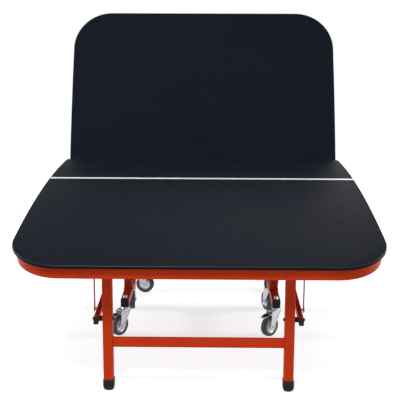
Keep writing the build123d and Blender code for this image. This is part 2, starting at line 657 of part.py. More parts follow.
# Origin: middle of the footprint on the floor
boxes = [shape.bounding_box() for shape in pieces.values()]
ORIGIN_Y = (min(b.min.Y for b in boxes) + max(b.max.Y for b in boxes)) / 2
for name, shape in pieces.items():
    finished = Pos(0, -ORIGIN_Y, 0) * shape
    finished.label = name
    export_step(finished, "parts/" + name + ".step")
print("pieces", len(pieces), "origin_y", round(ORIGIN_Y, 4), "height", round(max(b.max.Z for b in boxes), 2))
print("leg_x", LEG_X, "leg_pin_z", round(LEG_PIN_Z, 4), "caster_in", round(CASTER_IN, 4))
print("strut_pin_z", round(STRUT_PIN_Z, 4), "slope", round(STRUT_SLOPE, 3))
print("stay", round(STAY_Y, 4), round(STAY_Z, 4))
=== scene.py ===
# %% [markdown]
# # An arched folding ball-game table
# The table has two equal halves, and each stands on its own wheeled carriage. The near half lies
# in its playing position. The far half is rolled in behind it and folded up as a wall. The packed
# model gives every place, body and joint; this lesson dresses it with finer shapes and finishes.

import json
from math import acos, atan2, cos, degrees, hypot, pi, radians, sin, sqrt

import bmesh
import bpy
from mathutils import Matrix, Vector


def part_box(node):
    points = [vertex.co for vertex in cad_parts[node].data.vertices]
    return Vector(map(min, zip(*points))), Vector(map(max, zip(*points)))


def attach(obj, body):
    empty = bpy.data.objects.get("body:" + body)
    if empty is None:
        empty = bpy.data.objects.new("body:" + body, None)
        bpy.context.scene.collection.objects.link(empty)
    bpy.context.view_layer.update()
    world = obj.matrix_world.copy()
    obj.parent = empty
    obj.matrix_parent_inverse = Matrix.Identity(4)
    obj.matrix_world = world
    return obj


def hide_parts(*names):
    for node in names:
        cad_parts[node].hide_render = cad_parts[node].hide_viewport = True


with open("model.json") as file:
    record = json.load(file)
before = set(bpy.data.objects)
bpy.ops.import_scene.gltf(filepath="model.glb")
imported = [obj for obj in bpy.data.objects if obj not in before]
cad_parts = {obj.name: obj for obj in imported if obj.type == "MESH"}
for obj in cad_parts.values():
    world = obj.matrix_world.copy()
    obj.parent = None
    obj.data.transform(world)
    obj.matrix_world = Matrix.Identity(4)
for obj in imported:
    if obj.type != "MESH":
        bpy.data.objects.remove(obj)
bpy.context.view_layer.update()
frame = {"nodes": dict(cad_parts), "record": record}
scene = bpy.context.scene

# %% [markdown]
# ## One drawing for two halves
# Both halves are the same product, so each piece is drawn once, for the near half, with y = 0 at
# that half's inner edge. The far half is the same drawing turned end for end, and then rolled,
# folded or swung. One matrix for each group of pieces says where it goes, which keeps the two
# halves exactly alike, as two units from one factory are.

# %% Places of the two halves
PIVOT_Y, PIVOT_Z = 0.528, 0.624           # leaf pivot on the carriage post
LEG_Y, LEG_PIN_Z = 1.345, 0.556386        # leg pivot under the leaf
LEG_BOLT_Z = 0.304                        # strut bolt on the leg
FAR_POST_Y = 0.160                        # the far post, behind the near half's inner edge
FOLD = radians(78.4)
STRUT_PIN_Z = PIVOT_Z - (LEG_PIN_Z - LEG_BOLT_Z)
SPAN_Y, SPAN_Z = LEG_Y - PIVOT_Y, PIVOT_Z - LEG_PIN_Z
STRUT_AIM = Vector((0, SPAN_Y, SPAN_Z)).normalized()
STAY_FROM_BOLT = 0.090                    # stay pivot, along the strut from its leg bolt
STAY_Y = LEG_Y - STAY_FROM_BOLT * STRUT_AIM.y
STAY_Z = LEG_BOLT_Z + STAY_FROM_BOLT * STRUT_AIM.z

INNER_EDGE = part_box("near_board")[1].y


def shift(y, z):
    """A move along y and z."""
    return Matrix.Translation((0, y, z))


def swung(pin_z):
    """A fold about the far post at this height."""
    return shift(FAR_POST_Y, pin_z) @ Matrix.Rotation(FOLD, 4, "X") @ shift(-PIVOT_Y, -pin_z)


def carried(y, z, pin_z):
    """A piece that hangs from a folded one at (y, z) and stays upright itself."""
    at = swung(pin_z) @ Vector((0, y, z))
    return shift(at.y - y, at.z - z)


NEAR = shift(INNER_EDGE, 0)
TURN_ROUND = Matrix.Diagonal((1, -1, 1, 1))
FAR = {
    "leaf": swung(PIVOT_Z),
    "strut_left": swung(STRUT_PIN_Z),
    "strut_right": swung(STRUT_PIN_Z),
    "base": shift(FAR_POST_Y - PIVOT_Y, 0),
    "leg": carried(LEG_Y, LEG_PIN_Z, PIVOT_Z),
    "stay_left": carried(STAY_Y, STAY_Z, STRUT_PIN_Z),
    "stay_right": carried(STAY_Y, STAY_Z, STRUT_PIN_Z),
}
FAR = {group: NEAR @ move @ TURN_ROUND for group, move in FAR.items()}
print("inner edge of the near half at y =", round(INNER_EDGE, 4))

# %% [markdown]
# ## Camera
# The photograph is taken from a little below the raised panel's top edge, almost square on,
# looking down by eleven degrees. Its position was solved from the outlines of the two halves. A
# camera can be turned by angles, but writing its three axes as the columns of a matrix says the
# same thing with no doubt about the order of the turns.

# %% Camera at the photograph's place
PICTURE = 400.0
FOCAL_PIXELS = 811.8
PITCH, YAW, ROLL = 0.19176, -0.01238, 0.00338
CAMERA_AT = Vector((0.0424, -4.4616 + INNER_EDGE, 1.3971))

look = Vector((sin(YAW) * cos(PITCH), cos(YAW) * cos(PITCH), -sin(PITCH)))
level = Vector((cos(YAW), -sin(YAW), 0.0))
upright = level.cross(look)
right = level * cos(ROLL) + upright * sin(ROLL)
up = upright * cos(ROLL) - level * sin(ROLL)

camera_data = bpy.data.cameras.new("photo_camera")
camera_data.sensor_width = 36.0
camera_data.lens = camera_data.sensor_width * FOCAL_PIXELS / PICTURE
camera = bpy.data.objects.new("photo_camera", camera_data)
camera.matrix_world = Matrix((
    (right.x, up.x, -look.x, CAMERA_AT.x),
    (right.y, up.y, -look.y, CAMERA_AT.y),
    (right.z, up.z, -look.z, CAMERA_AT.z),
    (0, 0, 0, 1),
))
scene.collection.objects.link(camera)
scene.camera = camera
print("lens", round(camera_data.lens, 2), "mm")

# %% [markdown]
# ## Finishes
# A surface is never one colour. Powder coat has the fine ripple of orange peel, a laminate has a
# pressed grain, zinc has soft spangles. Each finish here is a few noise textures on Object
# coordinates, which are metres in this scene, so a scale of 900 is a grain of about a millimetre.
# The noises tint the colour, vary the gloss and lift a small bump.

# %% Helpers for finishes
TINT_SPAN = (0.32, 0.68)                   # noise values where the two colours stand
GLOSS_SPAN = (0.30, 0.70)                  # noise values where the ends of the gloss stand
BUMP_STRENGTH = 0.5


def new_finish(name):
    """A material with its node tree and its shader."""
    made = bpy.data.materials.new(name)
    made.use_nodes = True
    tree = made.node_tree
    return made, tree, tree.nodes["Principled BSDF"]


def grain(tree, scale, detail=4.0):
    """Noise on Object coordinates."""
    where = tree.nodes.new("ShaderNodeTexCoord")
    noise = tree.nodes.new("ShaderNodeTexNoise")
    noise.inputs["Scale"].default_value = scale
    noise.inputs["Detail"].default_value = detail
    tree.links.new(where.outputs["Object"], noise.inputs["Vector"])
    return noise.outputs["Fac"]


def tint(tree, factor, stops):
    """Colour ramp between two stops, each (position, (r, g, b)) in linear light."""
    ramp = tree.nodes.new("ShaderNodeValToRGB")
    for point, (position, colour) in zip(ramp.color_ramp.elements, stops):
        point.position = position
        point.color = (*colour, 1)
    tree.links.new(factor, ramp.inputs["Fac"])
    return ramp.outputs["Color"]


def spread(tree, factor, low, high):
    """Maps the middle of a noise to a range."""
    mapped = tree.nodes.new("ShaderNodeMapRange")
    for label, value in zip(("From Min", "From Max", "To Min", "To Max"), (*GLOSS_SPAN, low, high)):
        mapped.inputs[label].default_value = value
    tree.links.new(factor, mapped.inputs["Value"])
    return mapped.outputs["Result"]


def relief(tree, shader, height, depth):
    """Bump of this depth, in metres."""
    bump = tree.nodes.new("ShaderNodeBump")
    bump.inputs["Distance"].default_value = depth
    bump.inputs["Strength"].default_value = BUMP_STRENGTH
    tree.links.new(height, bump.inputs["Height"])
    tree.links.new(bump.outputs["Normal"], shader.inputs["Normal"])


def simple_finish(name, colours, mottle, gloss, gloss_grain, skin, skin_depth, metal=0.0, specular=0.5):
    """Colour from a slow noise, gloss from a middle one and bump from a fine one."""
    made, tree, shader = new_finish(name)
    colour = tint(tree, grain(tree, mottle), zip(TINT_SPAN, colours))
    tree.links.new(colour, shader.inputs["Base Color"])
    tree.links.new(spread(tree, grain(tree, gloss_grain), *gloss), shader.inputs["Roughness"])
    relief(tree, shader, grain(tree, skin, detail=2.0), skin_depth)
    shader.inputs["Metallic"].default_value = metal
    shader.inputs["Specular IOR Level"].default_value = specular
    return made


# %% Finishes of the frame, the board and the small parts
orange_coat = simple_finish(
    "orange_powder_coat", ((0.435, 0.028, 0.0030), (0.500, 0.035, 0.0042)), mottle=7.0,
    gloss=(0.36, 0.48), gloss_grain=55.0, skin=850.0, skin_depth=0.00012, specular=0.07)

laminate = simple_finish(
    "charcoal_laminate", ((0.0058, 0.0075, 0.0120), (0.0066, 0.0084, 0.0133)), mottle=4.0,
    gloss=(0.56, 0.62), gloss_grain=18.0, skin=1300.0, skin_depth=0.00004, specular=0.024)
COOL_SHEEN = (0.82, 0.91, 1.0, 1)
laminate.node_tree.nodes["Principled BSDF"].inputs["Specular Tint"].default_value = COOL_SHEEN

edge_band = simple_finish(
    "black_edge_band", ((0.0045, 0.0045, 0.0050), (0.0075, 0.0075, 0.0085)), mottle=30.0,
    gloss=(0.42, 0.60), gloss_grain=90.0, skin=1500.0, skin_depth=0.00006, specular=0.04)

# The rolled edge is a lighter charcoal than the laminate and the band: a painted highlight, under a real
# higher gloss.
painted_highlight_roll = simple_finish(
    "polished_edge_roll_painted_highlight", ((0.0100, 0.0110, 0.0140), (0.0140, 0.0150, 0.0190)), mottle=30.0,
    gloss=(0.30, 0.42), gloss_grain=90.0, skin=1500.0, skin_depth=0.00004, specular=0.20)

line_paint = simple_finish(
    "white_line_paint", ((0.68, 0.68, 0.67), (0.80, 0.80, 0.79)), mottle=24.0,
    gloss=(0.42, 0.58), gloss_grain=120.0, skin=1500.0, skin_depth=0.00005)

# Black mouldings; the same finish also fills the caster axle's bore as painted shade.
black_moulding_and_painted_shade = simple_finish(
    "black_moulding_and_painted_shade", ((0.0060, 0.0062, 0.0068), (0.0125, 0.0128, 0.0140)), mottle=38.0,
    gloss=(0.32, 0.52), gloss_grain=110.0, skin=1700.0, skin_depth=0.00012, specular=0.12)

zinc = simple_finish(
    "zinc_plate", ((0.50, 0.52, 0.56), (0.74, 0.75, 0.78)), mottle=140.0,
    gloss=(0.24, 0.40), gloss_grain=220.0, skin=900.0, skin_depth=0.00006, metal=0.70)

tread = simple_finish(
    "slate_tread", ((0.028, 0.042, 0.064), (0.048, 0.066, 0.095)), mottle=60.0,
    gloss=(0.52, 0.72), gloss_grain=140.0, skin=1200.0, skin_depth=0.00015)

tan_core = simple_finish(
    "tan_wheel_core", ((0.175, 0.140, 0.092), (0.240, 0.200, 0.140)), mottle=70.0,
    gloss=(0.40, 0.55), gloss_grain=150.0, skin=1500.0, skin_depth=0.00008)
print("finishes", len(bpy.data.materials))

# %% [markdown]
# ## From a drawing to two finished pieces
# A finished piece keeps its object at the origin and holds its place in its mesh, as the packed
# nodes do. The far copy is a mirror image, and a mirror turns a mesh inside out, so its faces are
# flipped. Edges that meet at less than forty degrees are shaded smooth, and the others stay crisp.

# %% Helpers that place a piece on its body
CRISP = radians(40)


def put(name, mesh, place, body, slot, *nodes):
    """One finished piece, riding on a body and standing for the named nodes."""
    mesh.transform(place)
    if place.determinant() < 0:
        mesh.flip_normals()
    mesh.name = name
    mesh.shade_smooth()
    mesh.set_sharp_from_angle(angle=CRISP)
    piece = bpy.data.objects.new(name, mesh)
    scene.collection.objects.link(piece)
    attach(piece, body)
    if nodes:
        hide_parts(*nodes)


def put_both(name, mesh, group, slot, *nodes):
    """The near piece and its far twin."""
    twin = mesh.copy()
    put("near_" + name, mesh, NEAR, "near_" + group, slot, *["near_" + n for n in nodes])
    put("far_" + name, twin, FAR[group], "far_" + group, slot, *["far_" + n for n in nodes])
    print(name, len(twin.polygons), "faces on each half")


def to_mesh(shape, *materials):
    """A finished bmesh as a mesh with its materials."""
    mesh = bpy.data.meshes.new("drawn")
    shape.to_mesh(mesh)
    shape.free()
    for material in materials:
        mesh.materials.append(material)
    return mesh


# %% [markdown]
# ## The arched board
# The top is a thin laminated sheet on an arc of almost six metres radius, with two wide rounded
# corners and a black edge band. A flat plate could be bent with a modifier, but the arc is known
# exactly, so rows of points are laid on it. The softened edge is a run of rings round the outline,
# each a little further out and a little lower than the one before. The upper rings are polished
# and coloured a lighter charcoal, a painted highlight where the rolled edge catches the light.

# %% The arch and the board's outline
HALF_WIDTH, HALF_LENGTH = 0.750, 1.500
CENTRE_HEIGHT, END_DROP = 0.760, 0.195
BOARD_T, CORNER_R, EDGE_R = 0.013, 0.215, 0.0025
BEND_X, BEND_Y = HALF_WIDTH - CORNER_R, HALF_LENGTH - CORNER_R       # centre of a corner's bend
ROWS, CORNER_ROWS = 36, 18
ARCH_R = (HALF_LENGTH**2 + END_DROP**2) / (2 * END_DROP)
ARCH_Z = CENTRE_HEIGHT - ARCH_R


def arch(y, depth):
    """Height at y of the arch that lies this deep under the playing surface."""
    return ARCH_Z + sqrt((ARCH_R - depth) ** 2 - y * y)


def even(count, first, last):
    """This many values at even steps."""
    return [first + (last - first) * k / (count - 1) for k in range(count)]


def corner_bend(radius, steps):
    """Plan of a rounded corner, after the point where the straight side ends."""
    turns = even(steps + 1, 0, pi / 2)[1:]
    return [(BEND_X + radius * cos(a), -BEND_Y - radius * sin(a)) for a in turns]


def outline_rows(inset):
    """(half width, y) of every row, for an outline drawn in by inset."""
    rows = [(HALF_WIDTH - inset, y) for y in even(ROWS + 1, -inset, -BEND_Y)]
    return rows + corner_bend(CORNER_R - inset, CORNER_ROWS)


print("arch radius", round(ARCH_R, 3), "m")

# %% Board
COLUMNS, ROLL_RINGS = 20, 3
BAND_FACE, ROLL_FACE = 1, 2                # material numbers; the two sheets keep 0


def round_the_edge(last):
    """Row and column of each point round the outline."""
    loop = [(k, COLUMNS) for k in range(last + 1)]
    loop += [(last, j) for j in range(COLUMNS - 1, -1, -1)]
    loop += [(k, 0) for k in range(last - 1, -1, -1)]
    return loop + [(0, j) for j in range(1, COLUMNS)]


def board_mesh():
    """Upper and lower sheet on the arch, joined by the rings of the edge."""
    shape = bmesh.new()
    last = ROWS + CORNER_ROWS

    def point(rows, depth, k, j):
        half, y = rows[k]
        return shape.verts.new(((2 * j / COLUMNS - 1) * half, y, arch(y, depth)))

    turns = even(ROLL_RINGS + 1, 0, pi / 2)
    steps = [(EDGE_R * (1 - sin(a)), EDGE_R * (1 - cos(a))) for a in turns]
    rings = steps + [(inset, BOARD_T - depth) for inset, depth in reversed(steps)]
    sheets = []
    for inset, depth in (rings[0], rings[-1]):
        rows = outline_rows(inset)
        sheet = [[point(rows, depth, k, j) for j in range(COLUMNS + 1)] for k in range(last + 1)]
        sheets.append(sheet)
        for k in range(last):
            for j in range(COLUMNS):
                shape.faces.new((sheet[k][j], sheet[k + 1][j], sheet[k + 1][j + 1], sheet[k][j + 1]))
    loop = round_the_edge(last)
    before = [sheets[0][k][j] for k, j in loop]
    for number, (inset, depth) in enumerate(rings[1:], 1):
        if number == len(rings) - 1:
            after = [sheets[1][k][j] for k, j in loop]
        else:
            rows = outline_rows(inset)
            after = [point(rows, depth, k, j) for k, j in loop]
        for i in range(len(loop)):
            side = shape.faces.new((before[i - 1], before[i], after[i], after[i - 1]))
            # the upper rings of the roll take the lighter colour of the painted highlight
            side.material_index = ROLL_FACE if number < ROLL_RINGS else BAND_FACE
        before = after
    bmesh.ops.recalc_face_normals(shape, faces=shape.faces)
    return to_mesh(shape, laminate, edge_band, painted_highlight_roll)


put_both("board_top", board_mesh(), "leaf", "board", "board")

# %% [markdown]
# ## The white line
# One painted line crosses each half. It is a paint film a quarter of a millimetre thick, drawn as
# a thin closed strip on the arch, so that it shades and bakes as a surface of its own.

# %% White line
LINE_Y, LINE_W, LINE_ROWS = 0.510, 0.025, 5
FILM, SUNK = 0.00025, 0.0006               # paint above the board, and its foot below the surface


def line_mesh():
    """Closed strip across the board, from edge roll to edge roll."""
    shape = bmesh.new()
    half = HALF_WIDTH - EDGE_R
    rows = even(LINE_ROWS, -LINE_Y - LINE_W / 2, -LINE_Y + LINE_W / 2)
    section = [(y, -FILM) for y in rows] + [(y, SUNK) for y in reversed(rows)]
    ends = [[shape.verts.new((x, y, arch(y, depth))) for y, depth in section] for x in (-half, half)]
    for i in range(len(section)):
        shape.faces.new((ends[0][i - 1], ends[0][i], ends[1][i], ends[1][i - 1]))
    for end in ends:
        shape.faces.new(end)
    bmesh.ops.recalc_face_normals(shape, faces=shape.faces)
    return to_mesh(shape, line_paint)


put_both("line_strip", line_mesh(), "leaf", "line", "line")

# %% [markdown]
# ## Frame tubes
# The frame is bent and welded from rolled steel tube: flat tube for the apron, the beams and the
# struts, square tube for the carriage. Every tube is a rounded rectangle drawn along a path, so
# one Geometry Nodes tree makes them all. Its inputs are the section's width, depth and corner
# radius, and the paths are plain edges that follow the arch or run straight.

# %% Helpers that build a tree and run it
def new_tree(name, inputs):
    """An empty tree with named inputs, its start and its end."""
    tree = bpy.data.node_groups.new(name, "GeometryNodeTree")
    tree.interface.new_socket("Geometry", in_out="INPUT", socket_type="NodeSocketGeometry")
    for label, kind, value in inputs:
        made = tree.interface.new_socket(label, in_out="INPUT", socket_type="NodeSocket" + kind)
        if value is not None:
            made.default_value = value
    tree.interface.new_socket("Geometry", in_out="OUTPUT", socket_type="NodeSocketGeometry")
    return tree, tree.nodes.new("NodeGroupInput"), tree.nodes.new("NodeGroupOutput")


def add_node(tree, kind, links=(), **settings):
    """A node with its settings; links are (input, output socket or plain value)."""
    node = tree.nodes.new(kind)
    for label, value in settings.items():
        setattr(node, label, value)
    for label, value in links:
        if isinstance(value, bpy.types.NodeSocket):
            tree.links.new(value, node.inputs[label])
        else:
            node.inputs[label].default_value = value
    return node


def close_tree(tree, start, end, geometry):
    """Realize Instances and Set Material, then the output."""
    real = add_node(tree, "GeometryNodeRealizeInstances", (("Geometry", geometry),))
    paint = add_node(tree, "GeometryNodeSetMaterial", (
        ("Geometry", real.outputs[0]), ("Material", start.outputs["Material"])))
    tree.links.new(paint.outputs[0], end.inputs["Geometry"])


def grow(tree, source, **values):
    """Runs a tree on a source mesh and returns the result as a plain mesh."""
    holder = bpy.data.objects.new("holder", source)
    scene.collection.objects.link(holder)
    modifier = holder.modifiers.new("tree", "NODES")
    modifier.node_group = tree
    for item in tree.interface.items_tree:
        if item.in_out == "INPUT" and item.name in values:
            modifier[item.identifier] = values[item.name]
    graph = bpy.context.evaluated_depsgraph_get()
    grown = bpy.data.meshes.new_from_object(holder.evaluated_get(graph))
    bpy.data.objects.remove(holder)
    return grown


def paths_mesh(paths, closed=False):
    """Plain edges along each path."""
    points, edges = [], []
    for path in paths:
        first = len(points)
        points += path
        edges += [(first + i, first + i + 1) for i in range(len(path) - 1)]
        if closed:
            edges.append((first + len(path) - 1, first))
    mesh = bpy.data.meshes.new("paths")
    mesh.from_pydata(points, edges, [])
    return mesh


# %% A tree that draws tube along a path
TUBE_BEND_STEPS = 5                        # in each rounded corner of the section
tube_tree, tube_in, tube_out = new_tree("tube_along_path", (
    ("Width", "Float", 0.04), ("Depth", "Float", 0.04), ("Corner", "Float", 0.004),
    ("Material", "Material", None)))
line = add_node(tube_tree, "GeometryNodeMeshToCurve", (("Mesh", tube_in.outputs["Geometry"]),))
level_line = add_node(tube_tree, "GeometryNodeSetCurveNormal", (("Curve", line.outputs[0]),), mode="Z_UP")
section = add_node(tube_tree, "GeometryNodeCurvePrimitiveQuadrilateral", (
    ("Width", tube_in.outputs["Width"]), ("Height", tube_in.outputs["Depth"])))
rounded = add_node(tube_tree, "GeometryNodeFilletCurve", (
    ("Curve", section.outputs[0]), ("Radius", tube_in.outputs["Corner"]),
    ("Count", TUBE_BEND_STEPS)), mode="POLY")
drawn = add_node(tube_tree, "GeometryNodeCurveToMesh", (
    ("Curve", level_line.outputs[0]), ("Profile Curve", rounded.outputs[0]), ("Fill Caps", True)))
close_tree(tube_tree, tube_in, tube_out, drawn.outputs[0])
print("tube tree", len(tube_tree.nodes), "nodes")


def tubes(paths, width, depth, corner):
    """Coated tube along each path."""
    return grow(tube_tree, paths_mesh(paths), Width=width, Depth=depth, Corner=corner, Material=orange_coat)


# %% Apron and beams on the arch
FLAT_T, FLAT_D, FLAT_CORNER = 0.020, 0.050, 0.0055
GLUE_T, APRON_INSET, WELD_BITE = 0.0002, 0.018, 0.001
INNER_RAIL_Y, BEAM_X = 0.130, 0.328
SIDE_STEPS, BEND_STEPS, BEAM_STEPS = 24, 16, 30
TUBE_TOP = BOARD_T + GLUE_T
TUBE_MID = TUBE_TOP + FLAT_D / 2
SIDE_X = HALF_WIDTH - APRON_INSET - FLAT_T / 2
END_Y = HALF_LENGTH - APRON_INSET - FLAT_T / 2
SIDE_START = INNER_RAIL_Y - FLAT_T / 2
BEAM_START, BEAM_END = INNER_RAIL_Y + FLAT_T / 2, END_Y - FLAT_T / 2
RAIL_END_X = SIDE_X - FLAT_T / 2           # where the inner rail meets the sides


def on_arch(plan):
    """Middle line of a tube under the board, from its plan."""
    return [(x, y, arch(y, TUBE_MID)) for x, y in plan]


def apron_plan():
    """From one inner end round both corners to the other."""
    half = [(SIDE_X, y) for y in even(SIDE_STEPS + 1, -SIDE_START, -BEND_Y)]
    half += corner_bend(SIDE_X - BEND_X, BEND_STEPS)
    return half + [(-x, y) for x, y in reversed(half)]


beam_rows = even(BEAM_STEPS + 1, -BEAM_START, -BEAM_END)
rail_half = RAIL_END_X + WELD_BITE
put_both("apron_tube", tubes([
    on_arch(apron_plan()),
    on_arch([(-rail_half, -INNER_RAIL_Y), (rail_half, -INNER_RAIL_Y)]),
], FLAT_T, FLAT_D, FLAT_CORNER), "leaf", "frame", "apron")
put_both("beam_tubes", tubes([
    on_arch([(side * BEAM_X, y) for y in beam_rows]) for side in (-1, 1)
], FLAT_T, FLAT_D, FLAT_CORNER), "leaf", "frame", "beams")

# %% Carriage and crossbar
SQUARE, SQUARE_CORNER = 0.040, 0.0045
POST_X, POST_TOP = 0.366, 0.646
FACE_IN, FACE_OUT = POST_X - SQUARE / 2, POST_X + SQUARE / 2         # faces of posts and legs
RAIL_MID, RAIL_TOP = 0.160, 0.180
RAIL_OUT, RAIL_IN = 0.710, 0.325
CROSS_Z = (0.300, 0.560)
CROSSBAR_Z = 0.205

put_both("rail_tubes", tubes([
    [(side * POST_X, -RAIL_OUT, RAIL_MID), (side * POST_X, -RAIL_IN, RAIL_MID)] for side in (-1, 1)
], SQUARE, SQUARE, SQUARE_CORNER), "base", "frame", "rails")
put_both("post_tubes", tubes([
    [(side * POST_X, -PIVOT_Y, RAIL_TOP), (side * POST_X, -PIVOT_Y, POST_TOP)] for side in (-1, 1)
], SQUARE, SQUARE, SQUARE_CORNER), "base", "frame", "posts")
put_both("cross_bars", tubes([
    [(-FACE_IN, -PIVOT_Y, z), (FACE_IN, -PIVOT_Y, z)] for z in CROSS_Z
], SQUARE, SQUARE, SQUARE_CORNER), "base", "frame", "cross_tubes")
put_both("leg_crossbar", tubes([
    [(-FACE_IN, -LEG_Y, CROSSBAR_Z), (FACE_IN, -LEG_Y, CROSSBAR_Z)]
], FLAT_T, SQUARE, SQUARE_CORNER), "leg", "frame", "crossbar")

# %% [markdown]
# ## Legs, plugs and other cut blocks
# A leg is square tube with a rounded head round its pivot. The plugs in the tube ends are small
# moulded blocks. Both are an outline given a thickness, with the edges rolled over, so one helper
# extrudes an outline and bevels every edge that is sharp.

# %% A helper for outlines with rounded edges
SHARP_EDGE = radians(30)


def block(outline, start, end, soften, axis="x", segments=3):
    """An outline in the plane across an axis, drawn from start to end, with its edges rounded."""
    shape = bmesh.new()

    def corner(p, t):
        return {"x": (t, p[0], p[1]), "y": (p[0], t, p[1]), "z": (p[0], p[1], t)}[axis]

    ends = [[shape.verts.new(corner(p, t)) for p in outline] for t in (start, end)]
    for i in range(len(outline)):
        shape.faces.new((ends[0][i - 1], ends[0][i], ends[1][i], ends[1][i - 1]))
    for face in ends:
        shape.faces.new(face)
    bmesh.ops.recalc_face_normals(shape, faces=shape.faces)
    sharp = [e for e in shape.edges if e.calc_face_angle(0) > SHARP_EDGE]
    bmesh.ops.bevel(shape, geom=sharp, offset=soften, segments=segments, affect="EDGES", profile=0.5)
    return shape


def arc(y, z, radius, start, end, steps=14):
    """Points of an arc in degrees, anticlockwise from start to end."""
    turns = even(steps + 1, radians(start), radians(end))
    return [(y + radius * cos(a), z + radius * sin(a)) for a in turns]


def rectangle(y, z, width, height):
    """Corners of a rectangle round a middle point."""
    return [(y + a * width / 2, z + b * height / 2) for a, b in ((-1, -1), (1, -1), (1, 1), (-1, 1))]


def together(shapes):
    """Several bmeshes as one; each may carry a material number."""
    whole = bmesh.new()
    for shape, number in shapes:
        for face in shape.faces:
            face.material_index = number
        part = bpy.data.meshes.new("part")
        shape.to_mesh(part)
        shape.free()
        whole.from_mesh(part)
        bpy.data.meshes.remove(part)
    return whole


def moved(shape, place):
    """A bmesh carried to its place."""
    bmesh.ops.transform(shape, matrix=place, verts=shape.verts)
    return shape


# %% Legs
SOLE_TOP, LEG_ROLL, HEAD_STEPS = 0.014, 0.0042, 20
leg_outline = arc(-LEG_Y, LEG_PIN_Z, SQUARE / 2, 0, 180, HEAD_STEPS) + [
    (-LEG_Y - SQUARE / 2, SOLE_TOP), (-LEG_Y + SQUARE / 2, SOLE_TOP)]
legs = together([
    (block(leg_outline, side * POST_X - SQUARE / 2, side * POST_X + SQUARE / 2, LEG_ROLL), 0)
    for side in (-1, 1)])
put_both("leg_tubes", to_mesh(legs, orange_coat), "leg", "frame", "legs")

# %% Plugs in the rails and posts
PLUG_T, PLUG_R, PLUG_EASE = 0.004, 0.0015, 0.0006
PLUG_SIDE = SQUARE - PLUG_EASE
plugs, tops = [], []
for side in (-1, 1):
    rail_end = rectangle(side * POST_X, RAIL_MID, PLUG_SIDE, PLUG_SIDE)
    for start in (-RAIL_OUT - PLUG_T, -RAIL_IN):
        plugs.append((block(rail_end, start, start + PLUG_T, PLUG_R, axis="y"), 0))
    post_end = rectangle(side * POST_X, -PIVOT_Y, PLUG_SIDE, PLUG_SIDE)
    tops.append((block(post_end, POST_TOP, POST_TOP + PLUG_T, PLUG_R, axis="z"), 0))
put_both("rail_plugs", to_mesh(together(plugs), black_moulding_and_painted_shade), "base", "black", "rail_caps")
put_both("post_plugs", to_mesh(together(tops), black_moulding_and_painted_shade), "base", "black")

# %% Struts
STRUT_X, STRUT_T, STRUT_D, STRUT_OVER = 0.411, 0.020, 0.030, 0.025
STRUT_CORNER, STRUT_PLUG_EASE = 0.004, 0.0004
strut_low = Vector((0, -LEG_Y, LEG_BOLT_Z)) - STRUT_AIM * STRUT_OVER
strut_high = Vector((0, -PIVOT_Y, STRUT_PIN_Z)) + STRUT_AIM * STRUT_OVER
strut_end = rectangle(0, 0, STRUT_T - STRUT_PLUG_EASE, STRUT_D - STRUT_PLUG_EASE)


def strut_mesh(side):
    """Tube drawn by the tree, with a black plug in each end."""
    aside = Vector((side * STRUT_X, 0, 0))
    tube = bmesh.new()
    tube.from_mesh(tubes([[strut_low + aside, strut_high + aside]], STRUT_T, STRUT_D, STRUT_CORNER))
    shapes = [(tube, 0)]
    slope = Matrix.Rotation(atan2(SPAN_Z, SPAN_Y), 4, "X")
    for end, start in ((strut_low, -PLUG_T), (strut_high, 0)):
        plug = block(strut_end, start, start + PLUG_T, PLUG_R, axis="y")
        shapes.append((moved(plug, Matrix.Translation(end + aside) @ slope), 1))
    return to_mesh(together(shapes), orange_coat, black_moulding_and_painted_shade)


SIDES = ((-1, "left"), (1, "right"))
for side, word in SIDES:
    put_both(f"strut_{word}_tube", strut_mesh(side), f"strut_{word}", "frame", f"strut_{word}")

# %% [markdown]
# ## Rubber feet
# The legs end in black cups with a domed sole, pushed over the square tube. A cup is a stack of
# rounded squares that grow from the sole to the rim and then turn in to the leg, so it is lofted
# ring by ring. The small rolled rim is what catches the light in the photograph.

# %% Feet
FOOT_RINGS = (                             # height, half side, corner radius
    (0.0000, 0.0105, 0.0095), (0.0006, 0.0132, 0.0112), (0.0022, 0.0160, 0.0126),
    (0.0050, 0.0187, 0.0132), (0.0090, 0.0210, 0.0122), (0.0130, 0.0223, 0.0105),
    (0.0180, 0.0230, 0.0088), (0.0260, 0.0230, 0.0075), (0.0400, 0.0226, 0.0062),
    (0.0424, 0.0230, 0.0062), (0.0458, 0.0230, 0.0062), (0.0474, 0.0225, 0.0060),
    (0.0480, 0.0216, 0.0056), (0.0476, 0.0206, 0.0050), (0.0440, 0.0202, 0.0046))
ROUND_STEPS = 6


def rounded_square(half, radius):
    """Points round a square with rounded corners."""
    flat = half - radius
    points = []
    for number, (sx, sy) in enumerate(((1, 1), (-1, 1), (-1, -1), (1, -1))):
        for k in range(ROUND_STEPS + 1):
            a = (number + k / ROUND_STEPS) * pi / 2
            points.append((sx * flat + radius * cos(a), sy * flat + radius * sin(a)))
    return points


def foot(side):
    """Cup on one leg, lofted through its rings."""
    shape = bmesh.new()
    rings = []
    for height, half, radius in FOOT_RINGS:
        points = [(side * POST_X + x, -LEG_Y + y, height) for x, y in rounded_square(half, radius)]
        rings.append([shape.verts.new(point) for point in points])
    for low, high in zip(rings, rings[1:]):
        for i in range(len(low)):
            shape.faces.new((low[i - 1], low[i], high[i], high[i - 1]))
    shape.faces.new(rings[0])
    shape.faces.new(rings[-1])
    bmesh.ops.recalc_face_normals(shape, faces=shape.faces)
    return shape


feet = together([(foot(side), 0) for side in (-1, 1)])
put_both("foot_cups", to_mesh(feet, black_moulding_and_painted_shade), "leg", "black", "feet")

# %% [markdown]
# ## Turned pins and collars
# Pivots are turned steel pins with collars, and a black sleeve keeps each strut off its leg. Such
# parts come from a lathe, so the helper turns a section about an axis too. A section that is a
# closed ring of (along, radius) points gives a closed body.

